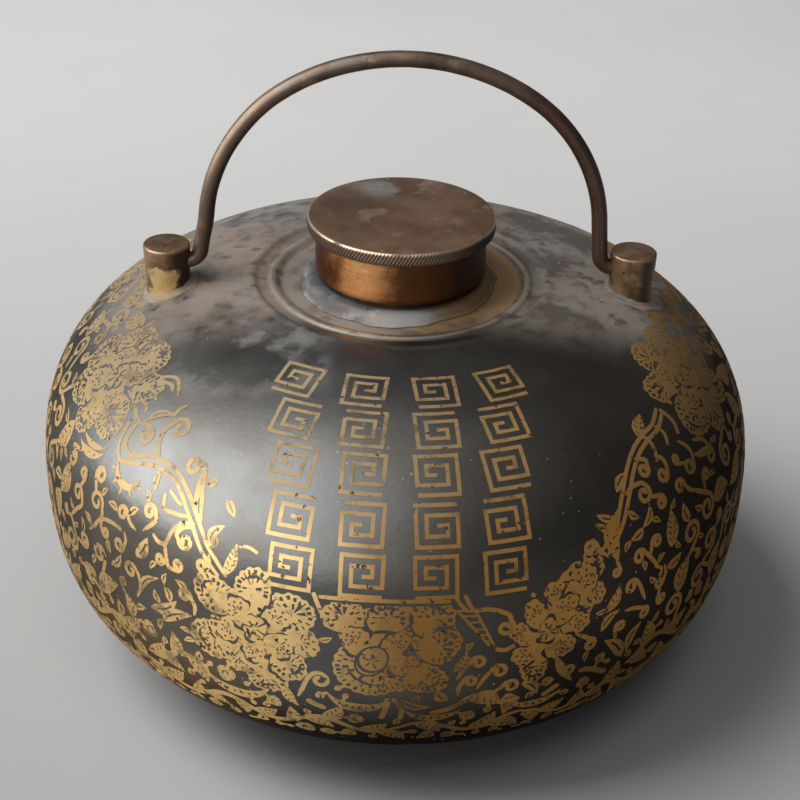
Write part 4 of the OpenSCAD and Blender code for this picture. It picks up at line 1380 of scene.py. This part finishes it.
# Sprigs, lobes and leaves that grow from the gold into every gap
def fillGaps(film, start, end):
    f = fillForm
    spots = fillSpots(start, end)
    for radius, width in f["sizes"]:
        spots = [p for p in spots if isFree(*p, f["clear"])]
        for turn, v in spots:
            foot = v < levelAt(footTop, turn)
            gap = f["gap"][foot]
            room = radius + gap + (0 if foot else width / 2)
            if v - room < f["low"] or not isFree(turn, v, room):
                continue
            root, far = nearestGold(turn, v, room + f["reach"])
            if not root:
                continue
            hand, draw = chance.choice((1, -1)), chance.random()
            rootTurn, rootV = degrees(root[0]), root[1]
            if foot and draw < f["lobes"]:
                way = degrees(atan2(v - rootV, radians(turn - rootTurn) * onLine(v)[0]))
                addLobe(film, turn, v, radius, way, hand)
                share, n = 1 - radius * f["stemEnd"] / far, f["stemParts"]
                run, rise = (turn - rootTurn) * share, (v - rootV) * share
                stem = [(radians(rootTurn + run * i / n), rootV + rise * i / n) for i in range(n + 1)]
                addLine(film, stem, f["stem"], (1, 1))
            elif radius > f["leastSprig"] and not foot and draw < f["sprigs"]:
                addSprig(film, root, turn, v, radius, hand, width)
            else:
                grow = (room - gap) / far
                tip = turn + (turn - rootTurn) * grow, v + (v - rootV) * grow
                cuts = vineForm["leafCuts"] if radius > f["cutLeaf"] else 0
                wide = radius * f["leafWidth"][0] + f["leafWidth"][1]
                addLeaf(film, (rootTurn, rootV), tip, wide, f["leafBend"] * hand, cuts)


def drawOrnament():
    for side, base in (("front", 0), ("back", 180)):
        flowers, scroll = ([], []), ([], [])
        for plan in blossoms:
            addBlossom(flowers, plan, base)
        for plan in (leftGarland, rightGarland, frontGarland):
            drawGarland(flowers, plan, base)
        addLadder(flowers, base)
        for row in vineForm["rows"]:
            addVine(scroll, base - 90, base + 90, *row)
        fillGaps(scroll, base - 90, base + 90)
        for name, film in (("Blossoms", flowers), ("Scroll", scroll)):
            newPiece(side + name, film, gilt, "vessel", sharp=filmForm["sharp"])
            print(side + name, len(film[1]), "faces")


# Squared fret tiles set out in a grid on the front
fretForm = {
    "across": (-21.4, -7.5, 6.7, 20.4), "rows": (57.4, 47.5, 37.6, 27.7, 17.8), "size": 8.0, "line": 0.8,
    "step": 1.1, "cells": 4,
    "path": ((0, 0), (4, 0), (4, 4), (0, 4), (0, 1), (3, 1), (3, 3), (1, 3), (1, 2), (2, 2)),
}


def drawFret():
    f = fretForm
    film, unit, half = ([], []), f["size"] / f["cells"], f["cells"] / 2
    for i, v in enumerate(f["rows"]):
        for k, x in enumerate(f["across"]):
            fx, fy = (1, -1)[(i + k) % 2], (1, -1)[i % 2]
            pts = [((x - half) * unit * fx, (y - half) * unit * fy) for x, y in f["path"]]
            path = []
            for a, b in zip(pts, pts[1:]):
                n = max(1, round(dist(a, b) / f["step"]))
                path += [(a[0] + (b[0] - a[0]) * j / n, a[1] + (b[1] - a[1]) * j / n) for j in range(n)]
            spot = atSpot(degrees(x / onLine(v)[0]), v)
            addLine(film, [spot(*p) for p in path + pts[-1:]], f["line"], (1, 1))
    newPiece("fretPanel", film, gilt, "vessel", sharp=filmForm["sharp"])


drawOrnament()
drawFret()
print("gilding done")


# Solder round the neck, spread wider at the front left
solderForm = {
    "inner": 15.35, "low": 88.0, "flange": 89.2, "flangeEdge": 20.05, "top": 89.8, "edge": 21.7, "around": 240,
    "spread": (1.2, 3.95), "edgeWaves": ((0.42, 3, 1), (0.30, 7, 0.4), (0.16, 13, 0), (0.1, 23, 1)),
    "lumps": ((0.10, 5, 1.3), (0.07, 11, 0), (0.05, 17, 2)),
    "slope": ((0, 0), (0.12, 0.14), (0.5, 0.32), (1.1, 0.62)),
    "crest": ((20.3, 89.32), (18.9, 89.68), (18.2, 89.8)), "lumpsFrom": 5,
    "follow": {3: 1, 4: 1, 5: 1, 6: 0.95, 7: 0.25},  # how far each ring of the outline follows the edge
}


def neckSolderRing():
    s = solderForm
    low, top, edge, shelf = s["low"], s["top"], s["edge"], s["flangeEdge"]
    line = [(s["inner"], s["flange"]), (shelf, s["flange"]), (shelf, low),
            *((edge - d, low + up) for d, up in s["slope"]), *s["crest"], (s["inner"], top)]

    def spread(i, a, r, z):
        if i not in s["follow"]:
            return r, z
        out = s["spread"][0] * cos(a - s["spread"][1]) + ripple(a, s["edgeWaves"])
        return r + out * s["follow"][i], z + (ripple(a, s["lumps"]) if i >= s["lumpsFrom"] else 0)
    shape = latheMesh(line, s["around"], spread)
    newPiece("neckSolderRing", shape, metals["neckSolder"], "vessel", "neck_braze")


# Cap top with a leaning knurl on its rim
crownForm = {
    "radius": 20.5, "low": 100.75, "thick": 3.0, "knurls": 168, "depth": 0.16, "lean": 30, "perTooth": 8,
    "sharp": 0.9, "plainIn": 0.6,
    # rounded edges as (in from the rim, in from the top or the underside)
    "topEdge": ((0, 0.75), (0.04, 0.5), (0.14, 0.26), (0.3, 0.1), (0.55, 0.02), (0.9, 0)),
    "lowEdge": ((0.9, 0), (0.35, 0.05), (0.08, 0.28)), "topRings": (18.5, 15, 10, 5, 0), "toothRise": 1.4,
    "sideStart": 0.6, "sideLong": 1.65, "sideParts": 6, "fadeLow": (0.15, 0.3), "fadeTop": (0.12, 0.45),
}


def capCrown():
    c = crownForm
    r, z0, z1 = c["radius"], c["low"], c["low"] + c["thick"]
    side = [(r, z0 + c["sideStart"] + c["sideLong"] * i / c["sideParts"]) for i in range(c["sideParts"])]
    line = ([(0, z0)] + [(r - d, z0 + up) for d, up in c["lowEdge"]] + side
            + [(r - d, z1 - down) for d, down in c["topEdge"]] + [(q, z1) for q in c["topRings"]])
    mid, lean = (z0 + z1) / 2, tan(radians(c["lean"]))

    def knurl(i, a, rr, z):
        if rr < r - c["plainIn"]:
            return rr, z
        low, top = c["fadeLow"], c["fadeTop"]
        fade = clip((z - z0 - low[0]) / low[1]) * clip((z1 - top[0] - z) / top[1])
        wave = c["knurls"] * (a - lean * (z - mid) / r) / (2 * pi)
        tooth = abs(2 * (wave - floor(wave)) - 1)
        return rr - c["depth"] * fade * (1 - min(1, c["toothRise"] * tooth)), z
    shape = latheMesh(line, c["knurls"] * c["perTooth"], knurl)
    newPiece("capCrown", shape, metals["crownBronze"], "cap", "cap_crown", c["sharp"])


# Faces of a tube of rings of points, closed at both ends
def tubeFaces(rings, sides):
    faces, last = [], (rings - 1) * sides
    for low in range(0, last, sides):
        for k in range(sides):
            q = (k + 1) % sides
            faces.append((low + k, low + q, low + sides + q, low + sides + k))
    return faces + [tuple(range(sides))[::-1], tuple(range(last, last + sides))]


# Bail: one bent wire, a wide arch, tighter sides, splayed legs and pivots turned outwards
bailForm = {
    "wire": 1.75, "apex": 138.58, "pivot": 91.78, "topRadius": 48.2, "topAngle": 34, "sideRadius": 36.75,
    "splay": 5, "bend": 3.2, "end": 52.7, "sides": 20, "sharp": 0.9, "parts": 32,
    "legParts": 6, "bendParts": 10, "endParts": 5,
    "dents": 0.035, "dentWaves": ((0.4, 0.9, 0), (0.6, 0.37, 1)), "dentTurn": 0.21,
    "roundFrom": (44.5, 3), "tight": 0.96, "tightFrom": 44.2,
    "pull": 0.8, "pullLow": (94, 9), "pullHigh": (137, 17),
}


# Half the wire's middle line from the apex outwards, as (x, z, slope)
def bailHalf():
    b = bailForm
    arch, n, big, small = b["apex"] - b["topRadius"], b["parts"], b["topRadius"], b["sideRadius"]
    a0, a1 = radians(b["topAngle"]), radians(90 - b["splay"])
    rows = []
    for i in range(n + 1):
        a = a0 * i / n
        rows.append((big * sin(a), arch + big * cos(a), a))
    sx, sz = (big - small) * sin(a0), arch + (big - small) * cos(a0)
    for i in range(1, n + 1):
        a = a0 + (a1 - a0) * i / n
        rows.append((sx + small * sin(a), sz + small * cos(a), a))
    x0, z0, a = rows[-1]
    zBend = b["pivot"] + b["bend"] * (1 - cos(a))
    x1 = x0 + (z0 - zBend) * tan(radians(b["splay"]))
    n = b["legParts"]
    rows += [(x0 + (x1 - x0) * i / n, z0 + (zBend - z0) * i / n, a) for i in range(1, n)]
    bendX, n = x1 + b["bend"] * sin(a), b["bendParts"]
    for i in range(n + 1):
        t = a * (1 - i / n)
        rows.append((bendX - b["bend"] * sin(t), b["pivot"] + b["bend"] * (1 - cos(t)), t))
    n = b["endParts"]
    return rows + [(bendX + (b["end"] - bendX) * i / n, b["pivot"], 0) for i in range(1, n + 1)]


def bailWire():
    b = bailForm
    half = bailHalf()

    def pulled(z):  # the left side is a little out of true
        up, down = clip((z - b["pullLow"][0]) / b["pullLow"][1]), clip((b["pullHigh"][0] - z) / b["pullHigh"][1])
        return b["pull"] * up * up * (3 - 2 * up) * down * down * (3 - 2 * down)
    path = [(pulled(z) - x, z, -a) for x, z, a in half[:0:-1]] + half
    m, verts = b["sides"], []
    for i, (x, z, a) in enumerate(path):
        plain = clip((b["roundFrom"][0] - abs(x)) / b["roundFrom"][1])  # the pivots stay round
        dent = b["dents"] * plain * ripple(i, b["dentWaves"])
        tight = b["tight"] if abs(x) > b["tightFrom"] and abs(a) > 0.01 else 1
        for k in range(m):
            t = 2 * pi * k / m
            w = b["wire"] * tight - abs(dent) * (0.5 + 0.5 * cos(t * 2 + i * b["dentTurn"]))
            out = w * cos(t)
            verts.append(((x + out * sin(a)) * mm, w * sin(t) * mm, (z + out * cos(a)) * mm))
    shape = verts, tubeFaces(len(path), m)
    newPiece("bailWire", shape, metals["bailBronze"], "bail", "bail_handle", b["sharp"])


# Handle posts, a little narrower at the foot, with a blind hole for the wire, and the solder smeared round them
postForm = {
    "away": 51.2, "foot": 4.72, "waist": ((4.9, 90), (5.04, 93)), "head": 5.12, "top": 95.83, "crown": 0.03,
    "flare": 0.05, "round": 0.5, "roundParts": 5, "sunk": 0.3, "rise": 0.9, "around": 72, "sharp": 0.6,
    "hole": 1.85, "holeZ": 91.78, "holeStart": 42.2, "holeEnd": 53.0, "holeSides": 40,
}
smearForm = {
    "rings": (4.2, 4.2, 4.75, 5.25, 5.75), "edge": 6.5, "edgeIn": 0.45, "spread": (0.9, 5.5), "around": 120,
    "rise": (-0.45, 0.55, 0.48, 0.3, 0.16, 0.07, 0.015, -0.3),
    "waves": ((0.4, 2, 1), (0.3, 5, 2), (0.16, 9, 0)), "lumps": ((0.22, 4, 1), (0.12, 11, 0)), "lumpy": range(2, 6),
}


def besidePost(sign, a, r):
    x, y = polar(r, a)
    return shoulderZ(hypot(sign * postForm["away"] + x, y))


def atPost(sign, shape):
    verts, faces = shape
    return [(x + sign * postForm["away"] * mm, y, z) for x, y, z in verts], faces


def holeCutter(sign):
    p, n, verts = postForm, postForm["holeSides"], []
    for x in (p["holeStart"], p["holeEnd"]):
        ring = [polar(p["hole"], 2 * pi * k / n) for k in range(n)]
        verts += [(sign * x * mm, y * mm, (p["holeZ"] + z) * mm) for y, z in ring]
    mesh = bpy.data.meshes.new("holeCutter")
    mesh.from_pydata(verts, [], [f if sign > 0 else f[::-1] for f in tubeFaces(2, n)])
    return putIn("holeCutter", mesh)


def handlePost(name, node, sign):
    p = postForm
    line = [(0, shoulderZ(p["away"]) - p["sunk"]), (p["foot"], 0), (p["foot"] + p["flare"], 1), *p["waist"],
            (p["head"], p["top"] - p["round"])]
    for k in range(p["roundParts"]):
        t = pi / 2 * (k + 1) / p["roundParts"]
        line.append((p["head"] - p["round"] * (1 - cos(t)), p["top"] - p["round"] * (1 - sin(t))))
    line.append((0, p["top"] + p["crown"]))

    def sit(i, a, r, z):
        return r, besidePost(sign, a, r) + (-p["sunk"], p["rise"])[i - 1] if i in (1, 2) else z
    shape = atPost(sign, latheMesh(line, p["around"], sit))
    post = newPiece(name, shape, metals["postBronze"], "vessel", node)
    cutter = holeCutter(sign)
    drill = post.modifiers.new("drill", "BOOLEAN")
    drill.object, drill.solver = cutter, "EXACT"
    done = bpy.data.meshes.new_from_object(post.evaluated_get(bpy.context.evaluated_depsgraph_get()))
    post.modifiers.clear()
    post.data = done
    bpy.data.objects.remove(cutter)
    post.data.set_sharp_from_angle(angle=p["sharp"])


def postSmear(name, node, sign):
    s = smearForm

    def lie(i, a, r, z):
        out = s["edge"] + s["spread"][0] * cos(a - s["spread"][1]) + ripple(a, s["waves"], sign)
        r, rise = (*s["rings"], out - s["edgeIn"], out, out)[i], s["rise"][i]
        if i in s["lumpy"]:
            rise *= 1 + ripple(a, s["lumps"], i)
        return r, besidePost(sign, a, r) + rise
    verts, faces = atPost(sign, latheMesh([(1, 0)] * len(s["rise"]), s["around"], lie))
    shape = verts, [f[::-1] for f in faces]
    newPiece(name, shape, metals["postSolder"], "vessel", node)


# Pieces whose solid shape is right keep it and take the finishes here
def finishSolids():
    for name, mat in (("filler_neck", metals["neckBrass"]), ("seam_braze", metals["seamSolder"]),
                      ("cap_skirt", metals["skirtCopper"]), ("seal_washer", washerLeather)):
        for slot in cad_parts[name].material_slots:
            slot.material = mat


neckSolderRing()
capCrown()
for name, sign in (("left", -1), ("right", 1)):
    handlePost(name + "Post", name + "_post", sign)
    postSmear(name + "PostSolder", name + "_post_braze", sign)
bailWire()
finishSolids()
print("fittings done")

# Camera, as the photograph stands
cameraForm = {
    "focal": 76.5, "sensor": 36, "distance": 392.0, "down": 30.58, "roll": 1.65, "around": 1.45,
    "aim": (0.78, 0.0, 56.9),
}


def placeCamera():
    c = cameraForm
    e, roll, turn = (radians(c[k]) for k in ("down", "roll", "around"))
    ahead, right = Vector((0, cos(e), -sin(e))), Vector((1, 0, 0))
    up = Vector((0, sin(e), cos(e)))
    side = right * cos(roll) + up * sin(roll)
    top = up * cos(roll) - right * sin(roll)
    data = bpy.data.cameras.new("photoCamera")
    data.lens, data.sensor_width, data.clip_start = c["focal"], c["sensor"], 0.01
    pose = Matrix((side, top, -ahead)).transposed().to_4x4()
    pose.translation = (Vector(c["aim"]) - ahead * c["distance"]) * mm
    cam = putIn("photoCamera", data)
    cam.matrix_world = Matrix.Rotation(-turn, 4, "Z") @ pose
    bpy.context.scene.camera = cam


placeCamera()

studio = {
    # painted light falloff: the floor colour runs from dark at the front to pale at the back
    "floor": {"near": (0.435, 0.442, 0.455), "far": (0.90, 0.893, 0.875), "reach": (-0.22, 0.42), "size": 6.0,
              "cloud": (0.62, 0.62, 0.615), "cloudAt": (5, 6, 0.30, 0.72), "cloudShare": 0.16,
              "grain": (60, 5, 0.2, 0.8, 3.0), "rough": (0.72, 0.85), "bump": (0.0003, 0.2)},
    "room": {"bright": (0.55, 0.553, 0.558), "dark": (0.04, 0.039, 0.037), "side": 2, "tilt": 0.5,
             "ceiling": (0.40, 0.62, 1, 0.12), "back": (0.35, 0.75, 1, 0.5)},
    "sheen": {"dim": 0.09, "strength": 7.0, "side": 2.8, "low": 0.60, "back": (0.02, 0.56, 1, 0.12),
              "lean": 0.7, "corner": (0.27, 0.46, 1, 0.36), "colour": (0.975, 0.985, 1.0)},
    "lamps": (
        ("leftWindow", (-1.06, -0.13, 1.69), 1.2, 29.5),
        ("frontFill", (0.15, -0.83, 1.81), 0.9, 4.2),
    ),
    "lampAim": (0, 0, 0.06),
}


def floorMaterial():
    f = studio["floor"]
    mat, tree, shader = newMaterial("paleFloor")
    shader.inputs["Specular IOR Level"].default_value = 0.0
    fine = cloud(tree, *f["grain"])
    # painted light falloff from the pale back to the dark front
    base = mixed(tree, ramp(tree, splitUp(tree, objectCoords(tree))[1], *f["reach"]), f["near"], f["far"])
    colour = mixed(tree, times(tree, cloud(tree, *f["cloudAt"]), f["cloudShare"]), base, f["cloud"])
    finish(tree, shader, colour, ramp(tree, fine, 0, 1, *f["rough"]), 0.0)
    addBump(tree, shader, fine, *f["bump"])
    return mat


def layFloor():
    half = studio["floor"]["size"] / 2
    mesh = bpy.data.meshes.new("floor")
    mesh.from_pydata([(-half, -half, 0), (half, -half, 0), (half, half, 0), (-half, half, 0)], [], [(0, 1, 2, 3)])
    mesh.materials.append(floorMaterial())
    putIn("floor", mesh)


# The room gives plain light; gloss shows a broad window on the left that fades to the back and the right
def buildRoom():
    room, sheen = studio["room"], studio["sheen"]
    world = bpy.data.worlds.new("softRoom")
    bpy.context.scene.world = world
    world.use_nodes = True
    tree = world.node_tree
    plain = tree.nodes["Background"]
    x, y, z = splitUp(tree, addNode(tree, "ShaderNodeTexCoord").outputs["Generated"])
    left = calc(tree, "DIVIDE", calc(tree, "SUBTRACT", 1.0, x, False), 2.0)
    glow = times(tree, calc(tree, "POWER", left, room["side"]),
                 ramp(tree, plus(tree, z, x, room["tilt"]), *room["ceiling"]), ramp(tree, y, *room["back"]))
    feed(tree, plain.inputs["Color"], mixed(tree, glow, room["dark"], room["bright"]))
    corner = plus(tree, y, x, sheen["lean"])
    high = calc(tree, "ADD", sheen["low"], times(tree, calc(tree, "MAXIMUM", z, 0), 1 - sheen["low"]))
    lobe = times(tree, calc(tree, "POWER", left, sheen["side"]), ramp(tree, y, *sheen["back"]),
                 ramp(tree, corner, *sheen["corner"]), high)
    window = addNode(tree, "ShaderNodeBackground")
    strength = plus(tree, sheen["dim"], lobe, sheen["strength"])
    feedAll(tree, window, ("Color", sheen["colour"]), ("Strength", strength))
    both = addNode(tree, "ShaderNodeMixShader")
    feedAll(tree, both, (0, addNode(tree, "ShaderNodeLightPath").outputs["Is Glossy Ray"]), (1, plain.outputs[0]),
            (2, window.outputs[0]))
    feed(tree, tree.nodes["World Output"].inputs["Surface"], both.outputs[0])


def hangLamps():
    for name, spot, size, power in studio["lamps"]:
        data = bpy.data.lights.new(name, "AREA")
        data.shape = "RECTANGLE"
        data.size = data.size_y = size
        data.energy = power
        lamp = putIn(name, data)
        lamp.location = spot
        lamp.visible_camera = lamp.visible_glossy = False
        lamp.rotation_euler = (Vector(studio["lampAim"]) - Vector(spot)).to_track_quat("-Z", "Y").to_euler()


layFloor()
buildRoom()
hangLamps()
bpy.context.scene.view_settings.view_transform = "Standard"
print("studio done")
